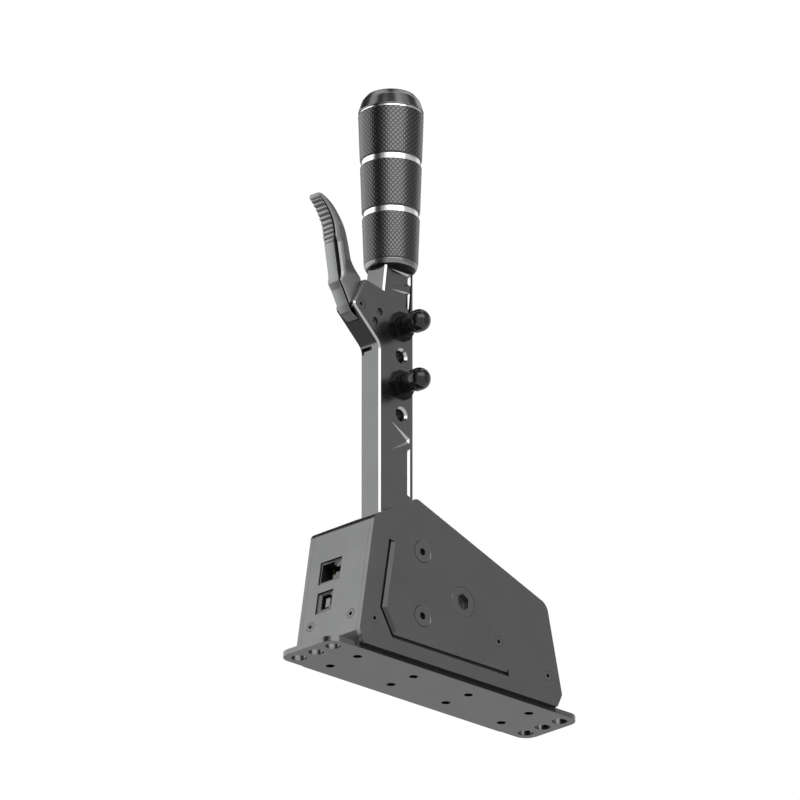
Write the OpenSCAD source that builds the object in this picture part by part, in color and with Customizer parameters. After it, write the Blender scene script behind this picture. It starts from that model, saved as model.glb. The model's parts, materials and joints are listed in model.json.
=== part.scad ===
// Sim racing gear shifter: a sprung lever with a trigger, two push buttons and a knurled grip,
// carried between two side plates on a bolt-down base. +X is the side with the buttons,
// -Y is the front with the ports, +Z is up. The origin is the middle of the base's bottom face.

/* [Base] */
// Length of the base plate, front to back
base_l = 200; // [190:1:230]
// Width of the base between the side plates
base_w = 46; // [44:1:52]
// Thickness of the base plate
base_t = 3.2; // [2.6:0.1:4]
// How much each ear is drawn in on each side
ear_inset = 0.5; // [0:0.1:2]
// Where the ears start, from the middle
ear_start = 79; // [78:0.5:84]
// Radius of the ears' corners
ear_r = 8; // [2:0.5:9]
// Diameter of the bolt holes in the ears
ear_hole_d = 9; // [6:0.1:10]
// Distance between neighbouring ear holes
ear_hole_pitch = 13.9; // [12:0.1:15]
// Distance from the plate's end to the ear holes' centres
ear_hole_edge = 9; // [7:0.1:12]
// Core diameter of the tapped holes underneath
tap_d = 5.2; // [4:0.1:6]
// Spacing across of the outer tapped holes
outer_tap_x = 22.4; // [18:0.1:26]
// Spacing along of the outer tapped holes
outer_tap_y = 137.6; // [134:0.1:140]
// Spacing across of the inner tapped holes
inner_tap_x = 18.5; // [14:0.1:24]
// Spacing along of the inner tapped holes
inner_tap_y = 44.1; // [36:0.1:60]
// Height of the two blocks that the side plates screw to
block_h = 27; // [25:0.5:28]
// Distance from the middle to the inner face of each block
block_y = 63; // [60:0.5:64]

/* [Side plates and cover] */
// Thickness of each side plate
side_t = 3; // [2.8:0.1:4]
// Height of the side plates' lower edge above the floor
side_foot_z = 2.5; // [1.5:0.1:2.6]
// Height of the knees, front and back
knee_z = 10.5; // [8:0.5:12]
// How far the front knee stands out
front_knee_y = 81.5; // [80:0.5:84]
// How far the front foot stands out
front_foot_y = 78.5; // [77.5:0.5:80]
// How far the rear knee stands out
rear_knee_y = 81.2; // [80:0.5:84]
// How far the rear foot stands out
rear_foot_y = 77.5; // [76:0.5:80]
// Front top corner, from the middle
front_top_y = 69.7; // [66:0.5:72]
// Height of the front top corner
front_top_z = 82.5; // [79:0.5:86]
// Peak, from the middle
peak_y = 35.7; // [33:0.5:38]
// Height of the peak
peak_z = 100.8; // [98:0.5:106]
// Rear top corner, from the middle
rear_top_y = 68.9; // [66:0.5:72]
// Height of the rear top corner
rear_top_z = 62.7; // [60:0.5:66]
// Sheet thickness of the folded cover
cover_t = 2; // [1.6:0.1:2.4]
// Gap between the cover's edges and each side plate
cover_gap = 0.1; // [0.05:0.05:0.3]
// Width of the milled groove in the side plates
groove_w = 5.2; // [4:0.1:6]
// Depth of the groove where its sloping side starts
groove_d = 0.9; // [0.5:0.1:1.4]
// Width of the deep slit along the groove's outer wall
slit_w = 2.6; // [1:0.1:2.6]
// Depth of the slit
slit_d = 1.9; // [1.5:0.1:2.2]

/* [Lever] */
// Thickness of the lever bar, across
bar_t = 15.8; // [14:0.1:17]
// Distance from the hole line to the bar's front edge
bar_front = 16.8; // [15:0.1:18]
// Distance from the hole line to the bar's rear edge
bar_rear = 9.7; // [9:0.1:11]
// Distance from the middle of the base back to the hole line (towards the front)
lever_y = 31.2; // [30:0.1:32]
// Height of the pivot
pivot_z = 69.4; // [68:0.1:71]
// Height of the stop shaft
stop_z = 30.4; // [30:0.1:32]
// Height of the centring rod
rod_z = 47.1; // [46.5:0.1:48]
// Largest swing of the lever, each way, in degrees
swing = 5; // [3:0.5:5]
// Height at which the bar's front turns out to the trigger cheeks
bend_z = 197.4; // [194:0.1:200]
// Height of the lowest cross hole
first_hole_z = 158.3; // [150:0.1:162]
// Distance between neighbouring cross holes
hole_pitch = 17.9; // [17.4:0.1:18.4]
// Diameter of the cross holes
cross_hole_d = 6.8; // [6.6:0.1:8]
// Depth of the countersinks of the cross holes
cross_sink = 1.3; // [0.5:0.1:2]
// How far the cross holes lie behind the grip's axis
cross_back = 0.8; // [0:0.1:2]
// Bevel along the bar's front edges
bar_bevel = 1; // [0.5:0.1:2]
// Height of the trigger's pivot
trigger_z = 217.9; // [217:0.1:219]
// Distance from the middle to the trigger's pivot (towards the front)
trigger_y = 62.7; // [62:0.1:63.4]
// Width of the slot between the cheeks
cheek_gap = 9.2; // [8.6:0.1:10]

/* [Trigger] */
// Clearance between the trigger and each cheek
trigger_play = 0.3; // [0.2:0.05:0.5]
// Width of the ribbed finger pad
pad_w = 9; // [8.8:0.1:13]
// Number of ribs on the finger pad
rib_count = 10; // [6:1:12]
// Diameter of the trigger's pin
trigger_pin_d = 4; // [3:0.1:4.4]

/* [Buttons] */
// Width across corners of the button's hexagon
hex_d = 17.8; // [14:0.1:18]
// Height of the hexagon
hex_h = 3.2; // [2.5:0.1:6]
// Diameter of the round collar
collar_d = 11; // [9:0.1:12]
// Height of the round collar
collar_h = 8.5; // [5:0.1:9]
// Diameter of the domed cap
cap_d = 13.2; // [12.8:0.1:15]
// Length of the cap's straight part
cap_h = 3.5; // [3:0.1:9]
// How far a button goes in
press = 1.5; // [0.8:0.1:1.8]

/* [Grip] */
// Height of the grip's lower end
grip_z = 246.8; // [242:0.1:248]
// Height of the dark lower end ring
end_ring_h = 1.2; // [1:0.1:6]
// Height of the grey collar
grey_h = 3; // [2:0.1:5]
// Height of each knurled sleeve
sleeve_h = 28.6; // [24:0.1:32]
// Height of the lower and the middle bright ring
ring_h = 3.45; // [2:0.05:5]
// Height of the top bright ring
top_ring_h = 1.2; // [0.8:0.1:3]
// Height of the domed cap
dome_h = 11.3; // [8:0.1:15]
// Radius of the grip where the grey collar starts
grip_r = 15.6; // [15:0.1:18]
// How much the radius grows per mm of height
grip_taper = 0.0351; // [0:0.001:0.05]
// How far the bright rings lie below the sleeves
ring_sink = 0.8; // [0:0.05:1.2]

/* [Hidden] */
$fn = 48;
e = 0.01;
slip = 0.05;
half_w = base_w / 2;
outer_x = half_w + side_t;
hole_y = -lever_y;
cross_y = hole_y + cross_back;
front_lean = atan((front_knee_y - front_top_y) / (front_top_z - knee_z));
rear_lean = atan((rear_knee_y - rear_top_y) / (rear_top_z - knee_z));
cover_w = base_w - 2 * cover_gap;

// Screws: small ones hold the cover and the side plates, large ones carry the shafts.
small_d = 3;
small_head_d = 6;
small_head_h = 1.7;
small_l = 8;
cover_screw_l = 6.5;
large_d = 6;
large_head_d = 12.6;
large_head_h = 2.6;
large_l = 16;
cover_screw_x = 16.5;
cover_screw_z = 22.2;
side_screw_z = 19.5;
side_screw_y = 69.7;
spacer_y = 30;
spacer_z = 30.3;
spacer_d = 10;

// Shafts, bearings, rod and springs inside the housing.
shaft_d = 10;
bearing_d = 19;
bearing_w = 5;
bumper_d = 14;
stop_drop = pivot_z - stop_z;
stop_travel = stop_drop * sin(swing);
window_end_r = bumper_d / 2 + 0.6;
window_reach = bumper_d / 2 + stop_travel + 0.3;
tail_rear = window_reach + 3;
slot_play = 1.5;
slot_r = 1.5;
yoke_play_y = 2.5;
yoke_play_z = 1.5;
tail_top = pivot_z + 13;
foot_z = 17;
yoke_pin_d = 5;
tang_t = 4.6;
tang_h = 10;
rod_d = 8;
rod_disc_d = 18;
rod_disc_t = 2.2;
disc_y = hole_y + tail_rear + 1.3;
guide_y = 1.4;
guide_l = 18;
guide_h = 22;
guide_web = 6;
guide_head_d = 18;
guide_socket = 8.5;
pocket_d = 17.4;
spring_seat = guide_web / 2;
spring_l = guide_y - spring_seat - disc_y - rod_disc_t;
spring_r = 6.4;
spring_wire_r = 1.05;
rear_disc_y = guide_y + spring_seat + spring_l;
rod_nut_t = 5;
rod_end_y = rear_disc_y + rod_disc_t + 2 * rod_nut_t + 3;
magnet_d = 6;
magnet_t = 3;

// Control board and ports.
board_x = -14.4;
board_t = 1.6;
board_y0 = -72;
board_y1 = -44;
board_z0 = 28;
board_z1 = 64;
board_screw_inset = 4;
front_screw_inset = 6;
board_screw_l = 5.5;
pan_head_d = 5.2;
pan_head_h = 1.8;
small_socket = 2;
port_recess = 0.8;
jack_z = 55.2;
jack_h = 14;
jack_x0 = -14.3;
jack_x1 = 2.7;
jack_depth = 14;
plug_h = 11.5;
plug_x0 = -13.4;
plug_x1 = -3.5;
latch_x = [-1.5, 2];
latch_h = [6.4, 3.6];
contact_count = 8;
contact_pitch = 1.02;
data_z = 36;
data_h = 13;
data_x0 = -13.6;
data_x1 = -1.2;
data_depth = 14;
data_hole_x = [-10.3, -2.1];
data_hole_h = 9;
data_chamfer = 2;
sensor_y = hole_y;
sensor_z = 8.2;

// Heights of the cross holes: the second and the fourth from below carry the buttons.
hole_z = [for (i = [0:3]) first_hole_z + i * hole_pitch];
button_z = [hole_z[3], hole_z[1]];
spare_z = [hole_z[2], hole_z[0]];

// Radius of the grip at a height.
collar_z = grip_z + end_ring_h;
function grip_radius(z) = grip_r + grip_taper * (z - collar_z);
sleeve_z = [for (i = [0:2]) collar_z + grey_h + i * (sleeve_h + ring_h)];
top_ring_z = sleeve_z[2] + sleeve_h;
dome_z = top_ring_z + top_ring_h;
core_r = 11;
end_ring_r = 1;
neck_top = collar_z + 8;
neck_reach = 9.9;
grip_bolt_l = 16;
grip_bolt_d = 8;
dome_lean = 2.2;
dome_top_r = 12.4;
dome_shoulder_r = 6;
grip_head_d = 13;
grip_head_h = 5.5;
grip_socket = 6;

// Outline of the housing in the YZ plane, counter-clockwise, with a radius for each corner.
housing = [
    [-front_foot_y, side_foot_z], [rear_foot_y, side_foot_z], [rear_knee_y, knee_z],
    [rear_top_y, rear_top_z], [-peak_y, peak_z], [-front_top_y, front_top_z], [-front_knee_y, knee_z],
];
housing_r = [0.8, 0.8, 2.4, 8, 5, 4.6, 2.4];

function unit(v) = v / norm(v);
function left_of(v) = [-v[1], v[0]];
function wrap(a) = a > 180 ? a - 360 : a < -180 ? a + 360 : a;

// Corner p between a and b, as an arc of radius r in n steps.
function corner(p, a, b, r, n) =
    let (u = unit(a - p), v = unit(b - p), half = acos(u * v) / 2,
         c = p + unit(u + v) * r / sin(half), s = p + u * r / tan(half) - c,
         t = p + v * r / tan(half) - c, a0 = atan2(s[1], s[0]), turn = wrap(atan2(t[1], t[0]) - a0))
    [for (i = [0:n]) c + r * [cos(a0 + turn * i / n), sin(a0 + turn * i / n)]];

// Polygon with rounded corners; a radius of 0 keeps the corner sharp.
function rounded(p, r, n = 6) = let (m = len(p))
    [for (i = [0:m - 1])
        each (r[i] <= 0 ? [p[i]] : corner(p[i], p[(i + m - 1) % m], p[(i + 1) % m], r[i], n))];

// Polygon drawn in by t on every side.
function inset(p, t) = let (m = len(p))
    [for (i = [0:m - 1])
        let (n1 = left_of(unit(p[i] - p[(i + m - 1) % m])), n2 = left_of(unit(p[(i + 1) % m] - p[i])))
        p[i] + t * (n1 + n2) / (1 + n1 * n2)];

// One side of an open path, at distance t to its left, with mitred corners.
function beside(p, t) = let (m = len(p) - 1)
    [for (i = [0:m])
        let (n1 = left_of(unit(p[max(i, 1)] - p[max(i, 1) - 1])),
             n2 = left_of(unit(p[min(i, m - 1) + 1] - p[min(i, m - 1)])))
        p[i] + t * (n1 + n2) / (1 + n1 * n2)];

// Front and rear outer faces at a height.
function front_y(z) = -front_knee_y + (z - knee_z) * tan(front_lean);
function rear_y(z) = rear_knee_y - (z - knee_z) * tan(rear_lean);

// A YZ outline given thickness from x0 to x1.
module slab(x0, x1, points) {
    translate([x0, 0, 0]) rotate([90, 0, 90]) linear_extrude(x1 - x0) polygon(points);
}

module rod_x(x0, x1, d, y, z) {
    translate([x0, y, z]) rotate([0, 90, 0]) cylinder(h = x1 - x0, d = d);
}

module rod_y(y0, y1, d, x, z) {
    translate([x, y0, z]) rotate([-90, 0, 0]) cylinder(h = y1 - y0, d = d);
}

module both_sides() {
    children();
    mirror([1, 0, 0]) children();
}

// Countersunk screw: the head's flat top is at z = 0 and the shank points down.
module flat_screw(head_d, d, head_h, l, socket) {
    difference() {
        union() {
            translate([0, 0, -head_h]) cylinder(h = head_h, d1 = d, d2 = head_d);
            translate([0, 0, -l]) cylinder(h = l - e, d = d);
        }
        translate([0, 0, -head_h * 0.8]) cylinder(h = head_h, d = socket / cos(30), $fn = 6);
    }
}

module flat_screw_hole(head_d, d, head_h, l, gap) {
    translate([0, 0, -head_h]) cylinder(h = head_h, d1 = d + 2 * gap, d2 = head_d + 2 * gap);
    translate([0, 0, -e]) cylinder(h = 1, d = head_d + 2 * gap);
    translate([0, 0, -l - 0.5]) cylinder(h = l, d = d + 2 * slip);
}

module small_screw(l) { flat_screw(small_head_d, small_d, small_head_h, l, small_socket); }
module small_hole(l) { flat_screw_hole(small_head_d, small_d, small_head_h, l, 0.12); }
module large_screw() { flat_screw(large_head_d, large_d, large_head_h, large_l, 4); }
module large_hole() { flat_screw_hole(large_head_d, large_d, large_head_h, large_l, 0.4); }

// Places of the screws in the right side plate; the left ones mirror them.
module at_side(y, z) { translate([outer_x, y, z]) rotate([0, 90, 0]) children(); }
module at_small_sides() {
    for (p = [[-side_screw_y, side_screw_z], [side_screw_y, side_screw_z], [spacer_y, spacer_z]])
        at_side(p[0], p[1]) children();
}
module at_large_sides() { for (z = [pivot_z, stop_z]) at_side(hole_y, z) children(); }
module at_cover_screws() {
    for (x = [-cover_screw_x, cover_screw_x]) {
        translate([x, front_y(cover_screw_z), cover_screw_z]) rotate([90 - front_lean, 0, 0]) children();
        translate([x, rear_y(cover_screw_z), cover_screw_z]) rotate([rear_lean - 90, 0, 0]) children();
    }
}

// Frame on the cover's front face: X across, Z up along the face, -Y out of it.
module on_front(z) { translate([0, front_y(z), z]) rotate([-front_lean, 0, 0]) children(); }

// Steel wire wound along Z from z = 0 to z = l, as one tube swept along a helix.
function ring_points(c, a, r, m) =
    [for (k = [0:m - 1]) c + r * (cos(360 * k / m) * [cos(a), sin(a), 0] + sin(360 * k / m) * [0, 0, 1])];
module coil(l, mean_r, wire_r, turns, steps = 20, m = 8) {
    n = turns * steps;
    pitch = (l - 2 * wire_r) / turns;
    least_gap = pitch - 2 * wire_r;
    echo(least_gap = least_gap);
    points = [for (i = [0:n]) each ring_points(
        [mean_r * cos(360 * i / steps), mean_r * sin(360 * i / steps), wire_r + pitch * i / steps],
        360 * i / steps, wire_r, m)];
    sides = [for (i = [0:n - 1], k = [0:m - 1]) each
        let (a = i * m + k, b = i * m + (k + 1) % m) [[a, a + m, b], [b, a + m, b + m]]];
    starts = [for (k = [1:m - 2]) [0, k, k + 1]];
    ends = [for (k = [1:m - 2]) [n * m, n * m + k + 1, n * m + k]];
    polyhedron(points, concat(sides, starts, ends));
}

module base_frame() color([0.23, 0.23, 0.24]) difference() {
    union() {
        base_outline();
        block(1);
        block(-1);
    }
    for (s = [-1, 1]) for (i = [-1:1])
        translate([i * ear_hole_pitch, s * (base_l / 2 - ear_hole_edge), -1])
            cylinder(h = base_t + 2, d = ear_hole_d);
    tapped_holes(outer_tap_x, outer_tap_y, base_t + 8);
    tapped_holes(inner_tap_x, inner_tap_y, base_t + 1);
    both_sides() at_small_sides() small_hole(small_l);
    at_cover_screws() small_hole(cover_screw_l);
}

module base_outline() {
    x = half_w - ear_inset;
    y = base_l / 2;
    linear_extrude(base_t) polygon(rounded(
        [[-x, -y], [x, -y], [x, -ear_start], [half_w, -ear_start], [half_w, ear_start], [x, ear_start],
         [x, y], [-x, y], [-x, ear_start], [-half_w, ear_start], [-half_w, -ear_start], [-x, -ear_start]],
        [ear_r, ear_r, 0, 0, 0, 0, ear_r, ear_r, 0, 0, 0, 0]));
}

module tapped_holes(dx, dy, l) {
    for (x = [-dx / 2, dx / 2]) for (y = [-dy / 2, dy / 2])
        translate([x, y, -1]) cylinder(h = l + 1, d = tap_d);
}

// Upstand block inside the cover, at the front (s = -1) or at the rear (s = 1).
module block(s) {
    intersection() {
        slab(-half_w, half_w, inset(housing, cover_t + slip));
        translate([-half_w, s > 0 ? block_y : -base_l / 2, base_t - e])
            cube([base_w, base_l / 2 - block_y, block_h - base_t]);
    }
    translate([-half_w, s > 0 ? block_y : -rear_foot_y + cover_t + 1, base_t - 0.5])
        cube([base_w, rear_foot_y - cover_t - 1 - block_y, 3]);
}

groove_path = [[38, 11], [-55.5, 11], [-65.4, 27.5], [-58, 70.7]];

// A deep slit follows the groove's outer wall, and from its inner edge the groove slopes up to the face.
module groove() {
    above = 0.5;
    under = 0.2;
    run = (groove_w - slit_w) / groove_d;
    along_groove([[0, above], [0, -slit_d], [slit_w, -slit_d], [slit_w, above]]);
    along_groove([[slit_w - run * under, above], [slit_w - run * under, -groove_d - under],
                  [groove_w + run * above, above]]);
}

// One solid along the groove's path. Its section has the same corners, [across, up from the face], at
// each bend.
module along_groove(section) {
    lines = [for (p = section) beside(groove_path, -p[0])];
    last = len(groove_path) - 1;
    n = len(section);
    polyhedron(
        [for (i = [0:last]) for (k = [0:n - 1]) [outer_x + section[k][1], lines[k][i][0], lines[k][i][1]]],
        concat([[for (k = [n - 1:-1:0]) k]],
            [for (i = [0:last - 1]) for (k = [0:n - 1]) let (j = (k + 1) % n)
                [n * i + k, n * i + j, n * i + n + j, n * i + n + k]],
            [[for (k = [0:n - 1]) n * last + k]]));
}

module side_plate() difference() {
    slab(half_w, outer_x, rounded(housing, housing_r));
    at_small_sides() small_hole(small_l);
    at_large_sides() large_hole();
    rod_x(half_w - 1, outer_x + 1, guide_head_d + 0.3, guide_y, rod_z);
    groove();
}

module side_plate_right() color([0.2, 0.2, 0.21]) side_plate();
module side_plate_left() color([0.2, 0.2, 0.21]) mirror([1, 0, 0]) side_plate();

module cover() color([0.3, 0.3, 0.31]) difference() {
    slab(-cover_w / 2, cover_w / 2, rounded(housing, housing_r));
    slab(-base_w, base_w, rounded(cover_inside(), [0, 0, 1.2, 6, 3, 2.6, 1.2]));
    translate([-base_w, -base_l / 2, -1]) cube([2 * base_w, base_l, base_t + 1]);
    lever_slot();
    on_front(jack_z) port_cut(jack_x0, jack_x1, jack_h);
    on_front(data_z) port_cut(data_x0, data_x1, data_h);
    at_cover_screws() small_hole(cover_screw_l);
}

// Inside of the folded sheet: the outline drawn in by the sheet's thickness, open at the bottom.
function cover_inside() = let (p = inset(housing, cover_t))
    [[p[0][0], -5], [p[1][0], -5], p[2], p[3], p[4], p[5], p[6]];

module port_cut(x0, x1, h) {
    gap = 0.25;
    translate([x0 - gap, -1, -h / 2 - gap]) cube([x1 - x0 + 2 * gap, cover_t + 3, h + 2 * gap]);
}

// Slot in the roof, wide enough for the lever's swing.
module lever_slot() {
    reach = (peak_z - pivot_z) * sin(swing) + slot_play;
    x = bar_x + slot_play;
    y0 = hole_y - bar_front - reach;
    y1 = hole_y + bar_rear + reach;
    translate([0, 0, front_top_z]) linear_extrude(peak_z)
        polygon(rounded([[-x, y0], [x, y0], [x, y1], [-x, y1]], [slot_r, slot_r, slot_r, slot_r]));
}

module side_screws() color([0.15, 0.15, 0.16]) both_sides() at_small_sides() small_screw(small_l);
module cover_screws() color([0.15, 0.15, 0.16]) at_cover_screws() small_screw(cover_screw_l);
module shaft_screws() color([0.15, 0.15, 0.16]) both_sides() at_large_sides() large_screw();

module guide_bolts() color([0.15, 0.15, 0.16]) both_sides() difference() {
    union() {
        rod_x(half_w + slip, outer_x, guide_head_d, guide_y, rod_z);
        rod_x(half_w - 12, half_w + 1, 10, guide_y, rod_z);
    }
    translate([outer_x - side_t - 1, guide_y, rod_z]) rotate([0, 90, 0])
        cylinder(h = side_t + 2, d = guide_socket / cos(30), $fn = 6);
}

module cross_spacer() color("silver") difference() {
    rod_x(-half_w, half_w, spacer_d, spacer_y, spacer_z);
    rod_x(-half_w - 1, half_w + 1, small_d + 2 * slip, spacer_y, spacer_z);
}

module shaft(z) difference() {
    rod_x(-half_w, half_w, shaft_d, hole_y, z);
    both_sides() rod_x(half_w - large_l + side_t - 1, half_w + 1, large_d + 2 * slip, hole_y, z);
}

module pivot_shaft() color("silver") shaft(pivot_z);
module stop_shaft() color("silver") shaft(stop_z);

module pivot_spacers() color([0.75, 0.75, 0.77]) both_sides() difference() {
    rod_x(bar_t / 2 + 0.3, half_w, shaft_d + 3.4, hole_y, pivot_z);
    rod_x(0, half_w + 1, shaft_d + 2 * slip, hole_y, pivot_z);
}

module stop_bumper() color([0.05, 0.05, 0.05]) difference() {
    rod_x(-bar_t / 2 + 0.5, bar_t / 2 - 0.5, bumper_d, hole_y, stop_z);
    rod_x(-bar_t, bar_t, shaft_d + 2 * slip, hole_y, stop_z);
}

// Cross block that guides the rod, with a pocket for a spring on each side of its web.
module guide_block() color([0.6, 0.6, 0.62]) difference() {
    translate([-half_w, guide_y - guide_l / 2, rod_z - guide_h / 2]) cube([base_w, guide_l, guide_h]);
    rod_y(guide_y - guide_l, guide_y - spring_seat, pocket_d, 0, rod_z);
    rod_y(guide_y + spring_seat, guide_y + guide_l, pocket_d, 0, rod_z);
    rod_y(guide_y - guide_l, guide_y + guide_l, rod_d + 4 + 2 * slip, 0, rod_z);
    both_sides() rod_x(half_w - 13, half_w + 1, 10 + 2 * slip, guide_y, rod_z);
}

module rod_bush() color("goldenrod") difference() {
    rod_y(guide_y - spring_seat, guide_y + spring_seat, rod_d + 4, 0, rod_z);
    rod_y(guide_y - guide_l, guide_y + guide_l, rod_d + 2 * slip, 0, rod_z);
}

module spring_rod() color("silver") difference() {
    union() {
        translate([-tang_t / 2, hole_y - tang_h / 2, rod_z - tang_h / 2])
            cube([tang_t, disc_y - hole_y + tang_h / 2 + e, tang_h]);
        rod_y(disc_y, disc_y + rod_disc_t, rod_disc_d - 1, 0, rod_z);
        rod_y(disc_y, rod_end_y, rod_d, 0, rod_z);
    }
    for (z = [-0.5, 0.5]) rod_x(-tang_t, tang_t, yoke_pin_d + 2 * slip, hole_y, rod_z + z);
    translate([-tang_t, hole_y - yoke_pin_d / 2 - slip, rod_z - 0.5])
        cube([2 * tang_t, yoke_pin_d + 2 * slip, 1]);
}

module rod_nuts() color([0.4, 0.4, 0.42]) difference() {
    union() {
        rod_y(rear_disc_y, rear_disc_y + rod_disc_t, rod_disc_d - 1, 0, rod_z);
        for (i = [0, 1]) translate([0, rear_disc_y + rod_disc_t + i * (rod_nut_t + 0.2), rod_z])
            rotate([-90, 0, 0]) cylinder(h = rod_nut_t + (i == 0 ? 0.2 : 0), d = 13 / cos(30), $fn = 6);
    }
    rod_y(rear_disc_y - 1, rod_end_y + 1, rod_d + 2 * slip, 0, rod_z);
}

module centring_spring(y) color([0.7, 0.7, 0.72])
    translate([0, y, rod_z]) rotate([-90, 0, 0]) coil(spring_l, spring_r, spring_wire_r, 4);

module front_spring() centring_spring(disc_y + rod_disc_t);
module rear_spring() centring_spring(guide_y + spring_seat);

// Control board on the left side plate. The ports stand on it, turned to match the leaning front.
module control_board() color([0.05, 0.25, 0.12]) difference() {
    slab(board_x - board_t, board_x, rounded(
        [[board_y0 - 2, board_z0], [board_y1, board_z0], [board_y1, board_z1], [board_y0 + 3, board_z1]],
        [1, 1, 1, 1], 3));
    at_board_screws() cylinder(h = 4 * board_t, d = small_d + 2 * slip, center = true);
}

// The front board screw lies midway between the two jacks, which lean with the front face.
module at_board_screws() {
    between = (jack_z - jack_h / 2 + data_z + data_h / 2) / 2;
    front = board_y0 + front_screw_inset;
    rear = board_y1 - board_screw_inset;
    for (p = [[front, between - (front - front_y(between)) * tan(front_lean)],
              [rear, board_z0 + board_screw_inset], [rear, board_z1 - board_screw_inset]])
        translate([board_x, p[0], p[1]]) rotate([0, 90, 0]) children();
}

module board_standoffs() color("silver") at_board_screws() difference() {
    translate([0, 0, -half_w - board_x]) cylinder(h = half_w + board_x - board_t, d = pan_head_d);
    translate([0, 0, -half_w - board_x + 1]) cylinder(h = half_w + board_x, d = small_d + 2 * slip);
}

module board_screws() color("gray") at_board_screws() difference() {
    union() {
        cylinder(h = pan_head_h, d = pan_head_d);
        translate([0, 0, -board_screw_l]) cylinder(h = board_screw_l + pan_head_h / 2, d = small_d);
    }
    translate([0, 0, pan_head_h / 2]) cylinder(h = pan_head_h, d = small_socket / cos(30), $fn = 6);
}

// Processor and plug headers on the board.
module board_chips() color([0.07, 0.07, 0.07]) {
    translate([board_x, -58, 33.5]) cube([1.4, 7, 7]);
    translate([board_x, -57.5, 43]) cube([6, 11, 4]);
    translate([board_x, -53, 50.5]) cube([1.2, 5, 6]);
}

module flat_jack() color([0.1, 0.1, 0.1]) on_front(jack_z) difference() {
    union() {
        translate([jack_x0, port_recess, -jack_h / 2]) cube([jack_x1 - jack_x0, cover_t, jack_h]);
        translate([board_x + e, cover_t + 0.3, -jack_h / 2])
            cube([jack_x1 - board_x - e, jack_depth, jack_h]);
    }
    translate([plug_x0, 0, -plug_h / 2]) cube([plug_x1 - plug_x0, jack_depth, plug_h]);
    for (i = [0, 1]) translate([plug_x0 + 1, 0, -latch_h[i] / 2])
        cube([latch_x[i] - plug_x0 - 1, jack_depth, latch_h[i]]);
}

// Spring contacts, one strip each, that slant from the jack's back wall to its mouth.
module jack_contacts() color("gold") on_front(jack_z)
    for (i = [0:contact_count - 1]) translate([0, 0, (i - (contact_count - 1) / 2) * contact_pitch - 0.22])
        linear_extrude(0.44) polygon([[plug_x0 + 0.3, jack_depth - 0.3], [plug_x0 + 0.3, jack_depth - 1.2],
            [plug_x0 + 4.4, 5.4], [plug_x0 + 4.9, 5.6], [plug_x0 + 1.2, jack_depth - 0.3]]);

module data_jack() color([0.55, 0.55, 0.56]) on_front(data_z) difference() {
    union() {
        translate([data_x0, port_recess, -data_h / 2]) cube([data_x1 - data_x0, cover_t, data_h]);
        translate([board_x + e, cover_t + 0.3, -data_h / 2])
            cube([data_x1 - board_x - e, data_depth, data_h]);
    }
    translate([0, data_depth, 0]) rotate([90, 0, 0]) linear_extrude(data_depth + 1) polygon([
        [data_hole_x[0], -data_hole_h / 2], [data_hole_x[1] - data_chamfer, -data_hole_h / 2],
        [data_hole_x[1], data_chamfer - data_hole_h / 2], [data_hole_x[1], data_hole_h / 2 - data_chamfer],
        [data_hole_x[1] - data_chamfer, data_hole_h / 2], [data_hole_x[0], data_hole_h / 2]]);
}

module data_tongue() color([0.8, 0.8, 0.8]) on_front(data_z)
    translate([data_hole_x[0] + 2.3, 2, -2.8]) cube([3.3, data_depth - 2, 5.6]);

// Small board under the lever's foot that reads the magnet in the foot.
module sensor_board() color([0.05, 0.25, 0.12]) difference() {
    translate([-8, sensor_y - 9, sensor_z]) cube([16, 18, board_t]);
    at_sensor_screws() cylinder(h = 10, d = 2.1, center = true);
}
module at_sensor_screws() {
    for (y = [-6.5, 6.5]) translate([0, sensor_y + y, sensor_z + board_t]) children();
}

module sensor_chip() color([0.07, 0.07, 0.07])
    translate([-2, sensor_y - 2, sensor_z + board_t]) cube([4, 4, 1.5]);

module sensor_standoffs() color("silver") at_sensor_screws() difference() {
    translate([0, 0, base_t - sensor_z - board_t]) cylinder(h = sensor_z - base_t, d = 5);
    translate([0, 0, -5]) cylinder(h = 5, d = 2.1);
}
module sensor_screws() color("gray") at_sensor_screws() {
    cylinder(h = 1.3, d = 3.8);
    translate([0, 0, -4.5]) cylinder(h = 4.6, d = 2);
}

// Lever bar: a tail in the housing, a straight shank, two cheeks for the trigger and a neck in the grip.
bar_front_y = hole_y - bar_front;
bar_rear_y = hole_y + bar_rear;
bar_x = bar_t / 2;
cheek_front = [-69.1, 216.8];
corner_r = 3.2;
bend_r = 8;
cheek_top = [-59.8, 233.7];
cheek_back = [-45, 230.7];
neck_front = [-42.9, 247.4];
bar_outline = [
    [bar_front_y, foot_z], [hole_y + tail_rear, foot_z], [hole_y + tail_rear, tail_top],
    [bar_rear_y, tail_top + 4], [bar_rear_y, neck_top], [hole_y - neck_reach, neck_top],
    [hole_y - neck_reach, neck_front[1] + 0.6], neck_front,
    cheek_back, cheek_top, cheek_front, [bar_front_y, bend_z],
];
bar_r = [3, 3, 2, 2, 0, 0, 0, 0, 1, 0.8, corner_r, bend_r];

// Slot between the cheeks, with the recess for the switch at its lower back.
slot_outline = [[-60.3, 209], [-58.3, 211.2], [-55.9, 209], [-49.9, 205.6], [-42.9, 217.8], [-48.6, 221.6],
    [-50, 242], [-80, 242], [-80, 220]];

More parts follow.
